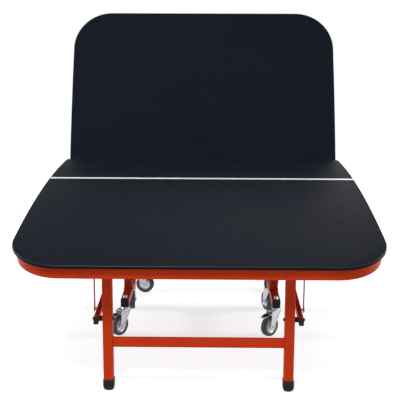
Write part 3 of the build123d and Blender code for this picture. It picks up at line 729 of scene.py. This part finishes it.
# %% A helper that turns a section
def turned(section, steps=32, axis="x"):
    """A closed ring of (along, radius) points, turned about an axis."""
    shape = bmesh.new()
    rings = []
    for k in range(steps):
        a = 2 * pi * k / steps
        if axis == "x":
            rings.append([shape.verts.new((t, r * cos(a), r * sin(a))) for t, r in section])
        else:
            rings.append([shape.verts.new((r * cos(a), r * sin(a), t)) for t, r in section])
    for k in range(steps):
        for i in range(len(section)):
            shape.faces.new((rings[k - 1][i - 1], rings[k - 1][i], rings[k][i], rings[k][i - 1]))
    bmesh.ops.recalc_face_normals(shape, faces=shape.faces)
    return shape


CORE_R = 0.0012                            # bore inside every turned part, never seen
COLLAR_ROLL = 0.0008


def collar(start, end, radius):
    """Section of a short cylinder with rolled edges."""
    edge = radius - COLLAR_ROLL
    return [(start, CORE_R), (start, edge), (start + COLLAR_ROLL, radius),
            (end - COLLAR_ROLL, radius), (end, edge), (end, CORE_R)]


def pin_row(stations, y, z, sides=(-1, 1)):
    """The same stack of collars on the left and on the right: (start, end, radius, material)."""
    shapes = []
    for side in sides:
        for start, end, radius, number in stations:
            low, high = sorted((side * start, side * end))
            shapes.append((moved(turned(collar(low, high, radius)), shift(y, z)), number))
    return shapes


# %% Pivot pins
RUN_GAP, PLATE_W = 0.0003, 0.006           # running clearance, and the pivot plate's thickness
FLANGE_T, FLANGE_R, PIN_R = 0.005, 0.012, 0.006
BEAM_IN, BEAM_OUT = BEAM_X - FLAT_T / 2, BEAM_X + FLAT_T / 2
RUN_IN, RUN_OUT = FACE_IN - RUN_GAP, FACE_OUT + RUN_GAP
outer_end = ((RUN_IN, RUN_OUT, PIN_R, 0), (RUN_OUT, RUN_OUT + FLANGE_T, FLANGE_R, 0))
leg_pin = ((BEAM_IN - FLANGE_T, BEAM_IN, FLANGE_R, 0), (BEAM_IN, BEAM_OUT, PIN_R, 0),
           (BEAM_OUT, RUN_IN, FLANGE_R, 0)) + outer_end
post_pin = ((BEAM_OUT - FLANGE_T, BEAM_OUT, FLANGE_R, 0), (BEAM_OUT, BEAM_OUT + PLATE_W, PIN_R, 0),
            (BEAM_OUT + PLATE_W, RUN_IN, FLANGE_R, 0)) + outer_end
leaf_pins = pin_row(leg_pin, -LEG_Y, LEG_PIN_Z) + pin_row(post_pin, -PIVOT_Y, PIVOT_Z)
put_both("pivot_pins", to_mesh(together(leaf_pins), zinc), "leaf", "zinc", "leaf_pins")

# %% Strut bolts
WASHER_T, WASHER_R, SLEEVE_R = 0.0015, 0.008, 0.011
STRUT_IN, STRUT_OUT = STRUT_X - STRUT_T / 2 - RUN_GAP, STRUT_X + STRUT_T / 2 + RUN_GAP
strut_bolt = ((FACE_IN - WASHER_T, FACE_IN, WASHER_R, 1), (FACE_IN, FACE_OUT, PIN_R, 0),
              (FACE_OUT, STRUT_IN, SLEEVE_R, 1), (STRUT_IN, STRUT_OUT, PIN_R, 0),
              (STRUT_OUT, STRUT_OUT + WASHER_T, WASHER_R, 1))
STRUT_BOLTS = (("leg", -LEG_Y, LEG_BOLT_Z, "leg"), ("post", -PIVOT_Y, STRUT_PIN_Z, "base"))
for carrier, y, z, group in STRUT_BOLTS:
    bolts = to_mesh(together(pin_row(strut_bolt, y, z)), zinc, black_moulding_and_painted_shade)
    put_both(f"{carrier}_strut_bolts", bolts, group, "zinc", f"{carrier}_bolts")

# %% Stays on the struts
STAY_X, STAY_T, STAY_R, STAY_LONG, STAY_ROLL = 0.429, 0.004, 0.008, 0.150, 0.0008
STAY_HEAD_T, STAY_HEAD_R, STAY_PIN_R = 0.003, 0.008, 0.004
STAY_OUT = STAY_X + STAY_T
stay_outline = arc(-STAY_Y, STAY_Z + STAY_LONG, STAY_R, 0, 180) + arc(-STAY_Y, STAY_Z, STAY_R, 180, 360)
stay_pin = ((STRUT_IN - STAY_HEAD_T, STRUT_IN, STAY_HEAD_R, 1), (STRUT_IN, STRUT_OUT, STAY_PIN_R, 1),
            (STRUT_OUT, STAY_X, STAY_HEAD_R, 1), (STAY_OUT, STAY_OUT + STAY_HEAD_T, STAY_HEAD_R, 1))


def stay_mesh(side):
    """Flat bar with rounded ends, and the pin that holds it to the strut."""
    low, high = sorted((side * STAY_X, side * STAY_OUT))
    bar = block(stay_outline, low, high, STAY_ROLL)
    pins = pin_row(stay_pin, -STAY_Y, STAY_Z, sides=(side,))
    return to_mesh(together([(bar, 0)] + pins), orange_coat, zinc)


for side, word in SIDES:
    put_both(f"stay_{word}_bar", stay_mesh(side), f"stay_{word}", "frame", f"stay_{word}")

# %% [markdown]
# ## Hexagon heads
# Pivots and strut bolts end in hexagon heads, and a kingpin ends in a nut with a stud. The same
# head repeats at many places, which is what instances are for: the tree puts a head on each point
# it is given and turns it by the rotation stored on that point. Realize Instances makes it real
# geometry for the export.

# %% A tree that sets hexagon heads on points
CROWN_SHARE = 0.84                         # foot of the crown, as a share of the corner radius
CROWN_STEPS = 24
hex_tree, hex_in, hex_out = new_tree("hexagon_heads", (
    ("Corner radius", "Float", 0.0098), ("Head height", "Float", 0.0055),
    ("Stud radius", "Float", 0.004), ("Stud height", "Float", 0.0025), ("Material", "Material", None)))
corner_radius, head_height = hex_in.outputs["Corner radius"], hex_in.outputs["Head height"]
hexagon = add_node(hex_tree, "GeometryNodeMeshCone", (
    ("Vertices", 6), ("Radius Top", corner_radius), ("Radius Bottom", corner_radius),
    ("Depth", head_height)))
crown_foot = add_node(hex_tree, "ShaderNodeMath", (
    (0, corner_radius), (1, CROWN_SHARE)), operation="MULTIPLY")
crown = add_node(hex_tree, "GeometryNodeMeshCone", (
    ("Vertices", CROWN_STEPS), ("Radius Top", hex_in.outputs["Stud radius"]),
    ("Radius Bottom", crown_foot.outputs[0]), ("Depth", hex_in.outputs["Stud height"])))
top = add_node(hex_tree, "ShaderNodeCombineXYZ", (("Z", head_height),))
lifted = add_node(hex_tree, "GeometryNodeTransform", (
    ("Geometry", crown.outputs["Mesh"]), ("Translation", top.outputs[0])))
head = add_node(hex_tree, "GeometryNodeJoinGeometry")
hex_tree.links.new(hexagon.outputs["Mesh"], head.inputs[0])
hex_tree.links.new(lifted.outputs[0], head.inputs[0])


def on_points(tree, start, piece):
    """Instances on the given points, each turned by the aim that is stored on its point."""
    aim = add_node(tree, "GeometryNodeInputNamedAttribute", (("Name", "aim"),), data_type="FLOAT_VECTOR")
    copies = add_node(tree, "GeometryNodeInstanceOnPoints", (
        ("Points", start.outputs["Geometry"]), ("Instance", piece), ("Rotation", aim.outputs["Attribute"])))
    return copies.outputs[0]


close_tree(hex_tree, hex_in, hex_out, on_points(hex_tree, hex_in, head.outputs[0]))
print("head tree", len(hex_tree.nodes), "nodes")


# %% Points for the heads
def points_mesh(points):
    """Loose points, each with the turn that aims its head: (position, (rx, ry, rz))."""
    mesh = bpy.data.meshes.new("points")
    mesh.from_pydata([p for p, _ in points], [], [])
    aims = mesh.attributes.new("aim", "FLOAT_VECTOR", "POINT")
    for item, (_, turn) in zip(aims.data, points):
        item.vector = turn
    return mesh


OUTWARD = {1: (0, pi / 2, 0), -1: (0, -pi / 2, 0)}


def pin_ends(stations, y, z):
    """Points for the heads of a pair of pins along x: each has one facing out and one facing in."""
    ends = ((stations[-1][1], 1), (stations[0][0], -1))
    return [((side * x, y, z), OUTWARD[side * facing]) for side in (-1, 1) for x, facing in ends]


def hex_heads(points, material, corner=0.0098, height=0.0055, stud=0.0045):
    """A head on each point."""
    return grow(hex_tree, points_mesh(points), **{
        "Corner radius": corner, "Head height": height, "Stud radius": stud, "Material": material})


# %% Heads on the pivots and struts
CAP_CORNER, CAP_HEIGHT = 0.0070, 0.0022
pivot_ends = pin_ends(leg_pin, -LEG_Y, LEG_PIN_Z) + pin_ends(post_pin, -PIVOT_Y, PIVOT_Z)
put_both("pivot_heads", hex_heads(pivot_ends, zinc), "leaf", "zinc")
for carrier, y, z, group in STRUT_BOLTS:
    caps = hex_heads(pin_ends(strut_bolt, y, z), black_moulding_and_painted_shade, CAP_CORNER, CAP_HEIGHT)
    put_both(f"{carrier}_bolt_caps", caps, group, "black")

# %% [markdown]
# ## Kingpins
# A caster hangs from a kingpin: a flanged plate under the rail, a pin through the tube and a nut
# on top, which shows as a bright spot on each rail in the photograph.

# %% Kingpins and their nuts
CASTER_Y = (-0.680, -0.354995)
NUT_SEAT, NUT_TURN = 0.1815, 0.4           # height of the nuts; each stops at its own angle
KINGPIN = [                                # height, radius
    (0.1164, CORE_R), (0.1164, 0.0075), (0.1180, 0.0090), (0.1224, 0.0090), (0.1224, 0.0049),
    (0.1350, 0.0049), (0.1350, 0.0192), (0.1358, 0.0200), (0.1390, 0.0200), (0.1398, 0.0192),
    (0.1398, 0.0048), (RAIL_TOP, 0.0048), (RAIL_TOP, 0.0118), (0.1806, 0.0124), (NUT_SEAT, 0.0120),
    (NUT_SEAT, CORE_R)]
king_places = [(side, y) for side in (-1, 1) for y in CASTER_Y]
kings = [(moved(turned(KINGPIN, axis="z"), Matrix.Translation((side * POST_X, y, 0))), 0)
         for side, y in king_places]
put_both("kingpin_turnings", to_mesh(together(kings), zinc), "base", "zinc", "kingpins")
nut_points = [((side * POST_X, y, NUT_SEAT), (0, 0, NUT_TURN * side + y)) for side, y in king_places]
put_both("kingpin_nuts", hex_heads(nut_points, zinc, height=0.0075, stud=0.005), "base", "zinc")

# %% [markdown]
# ## Casters
# Each caster is a pressed fork with a ball race, a wheel and, on the outer ends of the rails, a
# brake pedal. The wheel is a stack of turned rings: a slate tread, a tan core and a zinc cover with
# rivets. It is drawn about its own axle and then set into its fork, which may stand at any angle.

# %% Sections of the wheel
def both_ways(half):
    """A section of (along, radius) points that is the same on both faces, from its outer half."""
    return half + [(-along, radius) for along, radius in reversed(half) if along]


TREAD = both_ways([
    (-0.0148, 0.0368), (-0.0157, 0.0395), (-0.0154, 0.0440), (-0.0138, 0.0476), (-0.0105, 0.0494),
    (-0.0060, 0.0499), (0.0, 0.0500)])
CORE = both_ways([
    (-0.0135, 0.0290), (-0.0146, 0.0302), (-0.0150, 0.0335), (-0.0147, 0.0364), (-0.0138, 0.0371)])
COVER = both_ways([
    (-0.0176, 0.0044), (-0.0176, 0.0080), (-0.0164, 0.0098), (-0.0138, 0.0112), (-0.0124, 0.0150),
    (-0.0122, 0.0220), (-0.0132, 0.0270), (-0.0142, 0.0284), (-0.0136, 0.0296)])
print("points of tread, core and cover", len(TREAD), len(CORE), len(COVER))

# %% Rivets and wheel
WHEEL_STEPS = 56
rivet_tree, rivet_in, rivet_out = new_tree("rivet_ring", (
    ("Count", "Int", 5), ("Ring radius", "Float", 0.019), ("Rivet radius", "Float", 0.0022),
    ("Face", "Float", 0.0122), ("Material", "Material", None)))
ring = add_node(rivet_tree, "GeometryNodeMeshCircle", (
    ("Vertices", rivet_in.outputs["Count"]), ("Radius", rivet_in.outputs["Ring radius"])))
button = add_node(rivet_tree, "GeometryNodeMeshUVSphere", (
    ("Segments", 12), ("Rings", 6), ("Radius", rivet_in.outputs["Rivet radius"])))
both_faces = add_node(rivet_tree, "GeometryNodeJoinGeometry")
for side in (-1, 1):
    aside = add_node(rivet_tree, "ShaderNodeMath", (
        (0, rivet_in.outputs["Face"]), (1, side)), operation="MULTIPLY")
    place = add_node(rivet_tree, "ShaderNodeCombineXYZ", (("X", aside.outputs[0]),))
    upright_ring = add_node(rivet_tree, "GeometryNodeTransform", (
        ("Geometry", ring.outputs["Mesh"]), ("Translation", place.outputs[0]),
        ("Rotation", OUTWARD[1])))
    rivet_tree.links.new(upright_ring.outputs[0], both_faces.inputs[0])
rivets = add_node(rivet_tree, "GeometryNodeInstanceOnPoints", (
    ("Points", both_faces.outputs[0]), ("Instance", button.outputs["Mesh"])))
close_tree(rivet_tree, rivet_in, rivet_out, rivets.outputs[0])
print("rivet tree", len(rivet_tree.nodes), "nodes")


def wheel_mesh():
    """Three turned rings and the rivets, about the axle."""
    rivet_shape = bmesh.new()
    rivet_shape.from_mesh(grow(rivet_tree, bpy.data.meshes.new("none"), Material=zinc))
    rings = (TREAD, CORE, COVER)
    shapes = [(turned(section, WHEEL_STEPS), number) for number, section in enumerate(rings)]
    return to_mesh(together(shapes + [(rivet_shape, 2)]), tread, tan_core, zinc)


# %% Cheeks of the fork
TRAIL, WHEEL_R = 0.044, 0.050
CROWN_Z, PLATE_T = 0.1227, 0.004
PLATE_FRONT, PLATE_BACK = -0.020, 0.046
CHEEK_IN, CHEEK_OUT, CHEEK_R, CHEEK_ROLL, EYE_STEPS = 0.018, 0.021, 0.014, 0.0010, 16
RIM_W, RIM_H = 0.0042, 0.0010              # raised rim of a pressed cheek


def touch(y, z, turn):
    """Angle at which a line from (y, z) touches the eye round the axle."""
    away_y, away_z = y - TRAIL, z - WHEEL_R
    return degrees(atan2(away_z, away_y) + turn * acos(CHEEK_R / hypot(away_y, away_z)))


def cheek(side):
    """Pressed side of the fork: from the crown plate down to the eye, with a raised rim."""
    top = CROWN_Z + PLATE_T
    start, end = touch(PLATE_FRONT, CROWN_Z, 1) - 360, touch(PLATE_BACK, CROWN_Z, -1)
    outline = arc(TRAIL, WHEEL_R, CHEEK_R, start, end, EYE_STEPS) + [
        (PLATE_BACK, CROWN_Z), (PLATE_BACK, top), (PLATE_FRONT, top), (PLATE_FRONT, CROWN_Z)]
    low, high = sorted((side * CHEEK_IN, side * CHEEK_OUT))
    shape = block(outline, low, high, CHEEK_ROLL, segments=2)
    outer = max(shape.faces, key=lambda face: side * face.calc_center_median().x)
    bmesh.ops.inset_individual(shape, faces=[outer], thickness=RIM_W, depth=0.0)
    bmesh.ops.inset_individual(shape, faces=[outer], thickness=RIM_H, depth=-RIM_H)
    return shape


# %% Fork
PLATE_CUT, PLATE_ROLL = 0.006, 0.0016      # cut corners and rolled edge of the crown plate
SHADE_CORE_HALF, AXLE_R = 0.0225, 0.0026         # bore of the axle, filled by a black core as painted shade
AXLE = both_ways([                         # hollow steel axle with a collar on each end
    (-0.0245, AXLE_R), (-0.0245, 0.0050), (-0.0238, 0.0062), (-0.0212, 0.0062), (-0.0212, 0.0040)])
RACE_STEPS = 40
RACE = [                                   # height, radius
    (0.1229, 0.0056), (0.1229, 0.0200), (0.1242, 0.0214), (0.1275, 0.0220), (0.1290, 0.0214),
    (0.1298, 0.0206), (0.1306, 0.0214), (0.1325, 0.0214), (0.1340, 0.0198), (0.1344, 0.0180),
    (0.1344, 0.0056)]


def fork_mesh():
    """Crown plate, ball race, two cheeks and the axle."""
    half, cut = CHEEK_OUT, PLATE_CUT
    plate = [(-half, PLATE_FRONT + cut), (-half + cut, PLATE_FRONT), (half - cut, PLATE_FRONT),
             (half, PLATE_FRONT + cut), (half, PLATE_BACK - cut), (half - cut, PLATE_BACK),
             (-half + cut, PLATE_BACK), (-half, PLATE_BACK - cut)]
    crown_plate = block(plate, CROWN_Z, CROWN_Z + PLATE_T, PLATE_ROLL, axis="z")
    shapes = [(crown_plate, 0), (turned(RACE, RACE_STEPS, "z"), 0), (cheek(-1), 0), (cheek(1), 0)]
    at_axle = shift(TRAIL, WHEEL_R)
    shapes.append((moved(turned(AXLE), at_axle), 0))
    # black core in the bore: painted shade where the hollow axle would be dark
    shapes.append((moved(turned(collar(-SHADE_CORE_HALF, SHADE_CORE_HALF, AXLE_R)), at_axle), 1))
    return to_mesh(together(shapes), zinc, black_moulding_and_painted_shade)


# %% Brake pedal
PEDAL_Y, PEDAL_Z, PEDAL_PIN_R = 0.030, 0.1137, 0.0030
ARM_Y, ARM_Z = 0.060, 0.1115               # where the lever's long arm begins
LEVER_FALL = 0.0075 / 0.038                # slope of that arm
LEVER_HALF, PAD_HALF, RIB_HALF, PIN_HALF = 0.0125, 0.0150, 0.0135, 0.0220
LEVER_ROLL, PAD_ROLL, RIB_ROLL = 0.0010, 0.0008, 0.0003
RIBS, RIB_Y, RIB_PITCH = 5, 0.0625, 0.0042
RIB_FOOT, RIB_CREST, RIB_LOW, RIB_HIGH = 0.0010, 0.0005, 0.0012, 0.0029


def arm(y, lift):
    """Point above the long arm."""
    return (y, ARM_Z - LEVER_FALL * (y - ARM_Y) + lift)


def pedal_mesh():
    """Steel lever on a cross pin; its long arm carries a ribbed black pad and ends in a bare tip."""
    lever = [(0.024, 0.1187), (0.024, 0.1092), (0.036, 0.1087), (0.058, 0.1080), (0.096, 0.1000),
             arm(0.098, 0.0), arm(ARM_Y, 0.0), (0.036, 0.1187)]
    pad = [arm(0.058, -0.0005), arm(0.083, -0.0005), arm(0.082, 0.0016), arm(0.059, 0.0020)]
    shapes = [(block(lever, -LEVER_HALF, LEVER_HALF, LEVER_ROLL, segments=2), 0),
              (block(pad, -PAD_HALF, PAD_HALF, PAD_ROLL, segments=2), 1)]
    for k in range(RIBS):
        y = RIB_Y + RIB_PITCH * k
        rib = [arm(y - RIB_FOOT, RIB_LOW), arm(y + RIB_FOOT, RIB_LOW),
               arm(y + RIB_CREST, RIB_HIGH), arm(y - RIB_CREST, RIB_HIGH)]
        shapes.append((block(rib, -RIB_HALF, RIB_HALF, RIB_ROLL, segments=1), 1))
    pin = moved(turned(collar(-PIN_HALF, PIN_HALF, PEDAL_PIN_R)), shift(PEDAL_Y, PEDAL_Z))
    return to_mesh(together(shapes + [(pin, 0)]), zinc, black_moulding_and_painted_shade)


# %% Eight casters in their places
FAR_ROLL = FAR_POST_Y - PIVOT_Y
CASTERS = (                                # name, side, y, turn in degrees, braked
    ("near_outer_left", -1, CASTER_Y[0], 143, True),
    ("near_outer_right", 1, CASTER_Y[0], 135, True),
    ("near_inner_left", -1, CASTER_Y[1], 5, False),
    ("near_inner_right", 1, CASTER_Y[1], 20, False),
    ("far_inner_left", -1, FAR_ROLL - CASTER_Y[1], -100, False),
    ("far_inner_right", 1, FAR_ROLL - CASTER_Y[1], -45, False),
    ("far_outer_left", -1, FAR_ROLL - CASTER_Y[0], -20, True),
    ("far_outer_right", 1, FAR_ROLL - CASTER_Y[0], 15, True))
fork_drawing, wheel_drawing, pedal_drawing = fork_mesh(), wheel_mesh(), pedal_mesh()
for name, side, y, turn, braked in CASTERS:
    stand = NEAR @ Matrix.Translation((side * POST_X, y, 0)) @ Matrix.Rotation(radians(turn), 4, "Z")
    put("caster_fork_" + name, fork_drawing.copy(), stand, "fork_" + name, "zinc", "fork_" + name)
    put("caster_wheel_" + name, wheel_drawing.copy(), stand @ shift(TRAIL, WHEEL_R),
        "wheel_" + name, "tyre", "wheel_" + name)
    if braked:
        put("caster_pedal_" + name, pedal_drawing.copy(), stand, "pedal_" + name, "zinc", "pedal_" + name)
print("casters", len(CASTERS), "wheel faces", len(wheel_drawing.polygons))

# %% [markdown]
# ## Weld beads
# Where a tube meets a tube there is a weld: a row of overlapping drops, painted with the frame.
# The tree walks along a closed path round each joint, puts a small ball at even steps and varies
# its size with a fixed seed. A smooth fillet would be simpler, but the ripple is what a weld is.

# %% A tree that lays weld beads
DROP_SMALL, DROP_LARGE, DROP_SEED = 0.82, 1.12, 4
bead_tree, bead_in, bead_out = new_tree("weld_beads", (
    ("Pitch", "Float", 0.0034), ("Drop", "Float", 0.0029), ("Material", "Material", None)))
seam = add_node(bead_tree, "GeometryNodeMeshToCurve", (("Mesh", bead_in.outputs["Geometry"]),))
steps = add_node(bead_tree, "GeometryNodeResampleCurve", (
    ("Curve", seam.outputs[0]), ("Length", bead_in.outputs["Pitch"])), mode="LENGTH")
drop = add_node(bead_tree, "GeometryNodeMeshIcoSphere", (
    ("Radius", bead_in.outputs["Drop"]), ("Subdivisions", 2)))
vary = add_node(bead_tree, "FunctionNodeRandomValue", (
    (2, DROP_SMALL), (3, DROP_LARGE), ("Seed", DROP_SEED)), data_type="FLOAT")
laid = add_node(bead_tree, "GeometryNodeInstanceOnPoints", (
    ("Points", steps.outputs[0]), ("Instance", drop.outputs["Mesh"]), ("Scale", vary.outputs[1])))
close_tree(bead_tree, bead_in, bead_out, laid.outputs[0])
print("bead tree", len(bead_tree.nodes), "nodes")


def loop_round(x, y, z, wide, high, axis):
    """Rectangle round a tube of this section, in the plane across an axis."""
    corners = rectangle(0, 0, wide, high)
    if axis == "x":
        return [(x, y + a, z + b) for a, b in corners]
    if axis == "y":
        return [(x + a, y, z + b) for a, b in corners]
    return [(x + a, y + b, z) for a, b in corners]


def welds(loops):
    """Beads along closed loops."""
    return grow(bead_tree, paths_mesh(loops, closed=True), Material=orange_coat)


# %% Welds on the carriage, the legs and the leaf
base_loops = [
    loop_round(side * FACE_IN, -PIVOT_Y, z, SQUARE, SQUARE, "x") for side in (-1, 1) for z in CROSS_Z]
base_loops += [loop_round(side * POST_X, -PIVOT_Y, RAIL_TOP, SQUARE, SQUARE, "z") for side in (-1, 1)]
put_both("carriage_welds", welds(base_loops), "base", "frame")
leg_loops = [loop_round(side * FACE_IN, -LEG_Y, CROSSBAR_Z, FLAT_T, SQUARE, "x") for side in (-1, 1)]
put_both("leg_welds", welds(leg_loops), "leg", "frame")
leaf_joints = ((BEAM_X, -BEAM_START, "y"), (BEAM_X, -BEAM_END, "y"), (RAIL_END_X, -INNER_RAIL_Y, "x"))
leaf_loops = [
    loop_round(side * x, y, arch(y, TUBE_MID), FLAT_T, FLAT_D, axis)
    for side in (-1, 1) for x, y, axis in leaf_joints]
put_both("leaf_welds", welds(leaf_loops), "leaf", "frame")

# %% [markdown]
# ## Ears and screws under the board
# The board is held to its frame from below: flat ears are welded along the inside of the apron, and
# a pan-head screw goes up through each into the board. The tree sets a copy of one drawn piece on
# every point it is given and turns it as the point says, so that each ear lies flat on the arch.

# %% A tree that sets a drawn piece on points
set_tree, set_in, set_out = new_tree("piece_on_points", (
    ("Piece", "Object", None), ("Material", "Material", None)))
pattern = add_node(set_tree, "GeometryNodeObjectInfo", (("Object", set_in.outputs["Piece"]),))
close_tree(set_tree, set_in, set_out, on_points(set_tree, set_in, pattern.outputs["Geometry"]))
print("piece tree", len(set_tree.nodes), "nodes")


def copies_of(shape, points, material):
    """A drawn bmesh, repeated on points."""
    pattern_piece = bpy.data.objects.new("pattern", to_mesh(shape))
    scene.collection.objects.link(pattern_piece)
    grown = grow(set_tree, points_mesh(points), Piece=pattern_piece, Material=material)
    bpy.data.objects.remove(pattern_piece)
    return grown


# %% Ears along the apron
EAR_W, EAR_T, EAR_IN, EAR_ROLL = 0.024, 0.003, 0.018, 0.0012
EARS_EACH, SCREW_STEPS = 5, 20
SIDE_SPAN, END_SPAN, INNER_SPAN = (-0.24, -1.22), (-0.46, 0.46), (-0.60, 0.60)
SCREW = [                                  # height, radius
    (-0.0034, CORE_R), (-0.0034, 0.0018), (-0.0026, 0.0036), (-0.0010, 0.0042), (0.0, 0.0042),
    (0.0, CORE_R)]


def on_board(x, y, depth):
    """Point this deep under the board, with the turn that lays a piece flat on the arch."""
    tilt = atan2(-y, sqrt((ARCH_R - depth) ** 2 - y * y))
    return ((x, y, arch(y, depth)), (tilt, 0, 0))


ear_places = [
    (side * (SIDE_X - EAR_IN), y) for side in (-1, 1) for y in even(EARS_EACH, *SIDE_SPAN)]
ear_places += [(x, -END_Y + EAR_IN) for x in even(EARS_EACH, *END_SPAN)]
ear_places += [(x, -INNER_RAIL_Y - EAR_IN) for x in even(EARS_EACH, *INNER_SPAN)]
ear = block(rectangle(0, 0, EAR_W, EAR_W), -EAR_T, 0, EAR_ROLL, axis="z")
ear_points = [on_board(x, y, TUBE_TOP) for x, y in ear_places]
put_both("board_ears", copies_of(ear, ear_points, orange_coat), "leaf", "frame")
screw_points = [on_board(x, y, TUBE_TOP + EAR_T) for x, y in ear_places]
screw = turned(SCREW, SCREW_STEPS, "z")
put_both("ear_screws", copies_of(screw, screw_points, zinc), "leaf", "zinc")

# %% [markdown]
# ## What stays as packed
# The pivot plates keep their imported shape: flat steel cut to an outline. They only need the
# frame's finish. Any node that is still shown gets the finish of its slot in the same way.

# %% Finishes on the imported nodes
SLOT_FINISH = {
    "board": laminate, "line": line_paint, "frame": orange_coat,
    "black": black_moulding_and_painted_shade, "zinc": zinc, "tyre": tread}
node_slot = {part["node"]: part["material_slot"] for part in frame["record"]["subparts"]}
shown = []
for name, node in frame["nodes"].items():
    for holder in node.material_slots:
        holder.material = SLOT_FINISH[node_slot[name]]
    if not node.hide_render:
        shown.append(name)
print("packed nodes still shown:", sorted(shown))

# %% [markdown]
# ## Floor and light
# The photograph is a cut-out on white. A pale floor keeps the soft shadow that tells where the
# table stands, and glows a little for rays from the camera and from metal, more so far away, where
# it meets the white world with no horizon. The light is a plain studio set: a key from the front
# left, a fill from the right, a lamp behind, and one on each side that reaches under the table.

# %% Floor
FLOOR, FLOOR_GRAIN = 60.0, 2.0             # side of the floor, and the scale of its mottle
FLOOR_TINTS = ((0.3, (0.80, 0.80, 0.80)), (0.7, (0.83, 0.83, 0.83)))
FLOOR_ROUGHNESS, FLOOR_SPECULAR = 0.9, 0.1
GLOW_NEAR, GLOW_FAR = (1.5, 0.66), (6.0, 0.82)     # distance from the table, strength


def seen_directly(tree):
    """1 for rays from the camera and for rays that metal or glass sends on, 0 for plain light."""
    path = add_node(tree, "ShaderNodeLightPath")
    mirrored = add_node(tree, "ShaderNodeMath", (
        (0, path.outputs["Is Glossy Ray"]), (1, path.outputs["Is Transmission Ray"])), operation="MAXIMUM")
    either = add_node(tree, "ShaderNodeMath", (
        (0, path.outputs["Is Camera Ray"]), (1, mirrored.outputs[0])), operation="MAXIMUM")
    return either.outputs[0]


floor_mesh = bpy.data.meshes.new("studio_floor")
floor_corners = [(x, y, 0) for x, y in rectangle(0, 0, FLOOR, FLOOR)]
floor_mesh.from_pydata(floor_corners, [], [(0, 1, 2, 3)])
floor = bpy.data.objects.new("studio_floor", floor_mesh)
scene.collection.objects.link(floor)

pale, pale_tree, pale_shader = new_finish("pale_floor")
floor_colour = tint(pale_tree, grain(pale_tree, FLOOR_GRAIN), FLOOR_TINTS)
pale_tree.links.new(floor_colour, pale_shader.inputs["Base Color"])
pale_shader.inputs["Roughness"].default_value = FLOOR_ROUGHNESS
pale_shader.inputs["Specular IOR Level"].default_value = FLOOR_SPECULAR
pale_shader.inputs["Emission Color"].default_value = (1, 1, 1, 1)
ground = add_node(pale_tree, "ShaderNodeTexCoord")
distance = add_node(pale_tree, "ShaderNodeVectorMath", ((0, ground.outputs["Object"]),), operation="LENGTH")
fade = add_node(pale_tree, "ShaderNodeMapRange", (
    ("Value", distance.outputs["Value"]), ("From Min", GLOW_NEAR[0]), ("To Min", GLOW_NEAR[1]),
    ("From Max", GLOW_FAR[0]), ("To Max", GLOW_FAR[1])))
glow = add_node(pale_tree, "ShaderNodeMath", (
    (0, seen_directly(pale_tree)), (1, fade.outputs["Result"])), operation="MULTIPLY")
pale_tree.links.new(glow.outputs[0], pale_shader.inputs["Emission Strength"])
floor_mesh.materials.append(pale)
print("floor", FLOOR, "m")

# %% World
SKY_SEEN, SKY_LIGHT = 1.0, 0.20            # strength for direct sight, and for light on the table
world = bpy.data.worlds.new("studio_world")
scene.world = world
world.use_nodes = True
sky = world.node_tree
background = sky.nodes["Background"]
background.inputs["Color"].default_value = (1, 1, 1, 1)
strength = add_node(sky, "ShaderNodeMapRange", (
    ("Value", seen_directly(sky)), ("To Min", SKY_LIGHT), ("To Max", SKY_SEEN)))
sky.links.new(strength.outputs["Result"], background.inputs["Strength"])
print("world light", SKY_LIGHT)


# %% Lamps
def lamp(name, at, aim_at, size, power):
    """Square area lamp at a place, aimed at a point."""
    data = bpy.data.lights.new(name, "AREA")
    data.shape = "SQUARE"
    data.size = size
    data.energy = power
    holder = bpy.data.objects.new(name, data)
    holder.location = at
    holder.rotation_mode = "QUATERNION"
    holder.rotation_quaternion = (Vector(aim_at) - Vector(at)).to_track_quat("-Z", "Y")
    scene.collection.objects.link(holder)


lamp("key_light", (-0.9, -3.5, 5.1), (0, -0.7, 0.4), 1.2, 260)
lamp("fill_light", (1.6, -5.4, 0.8), (0, -0.2, 0.3), 1.6, 16)
lamp("back_light", (0.6, 4.2, 3.4), (0, 0, 0.7), 2.4, 90)
for side, word in SIDES:
    lamp(f"{word}_side_light", (side * 3.4, 0.1, 1.2), (0, -0.3, 0.2), 1.0, 52)
scene.view_settings.view_transform = "Standard"
print("lamps", len(bpy.data.lights))
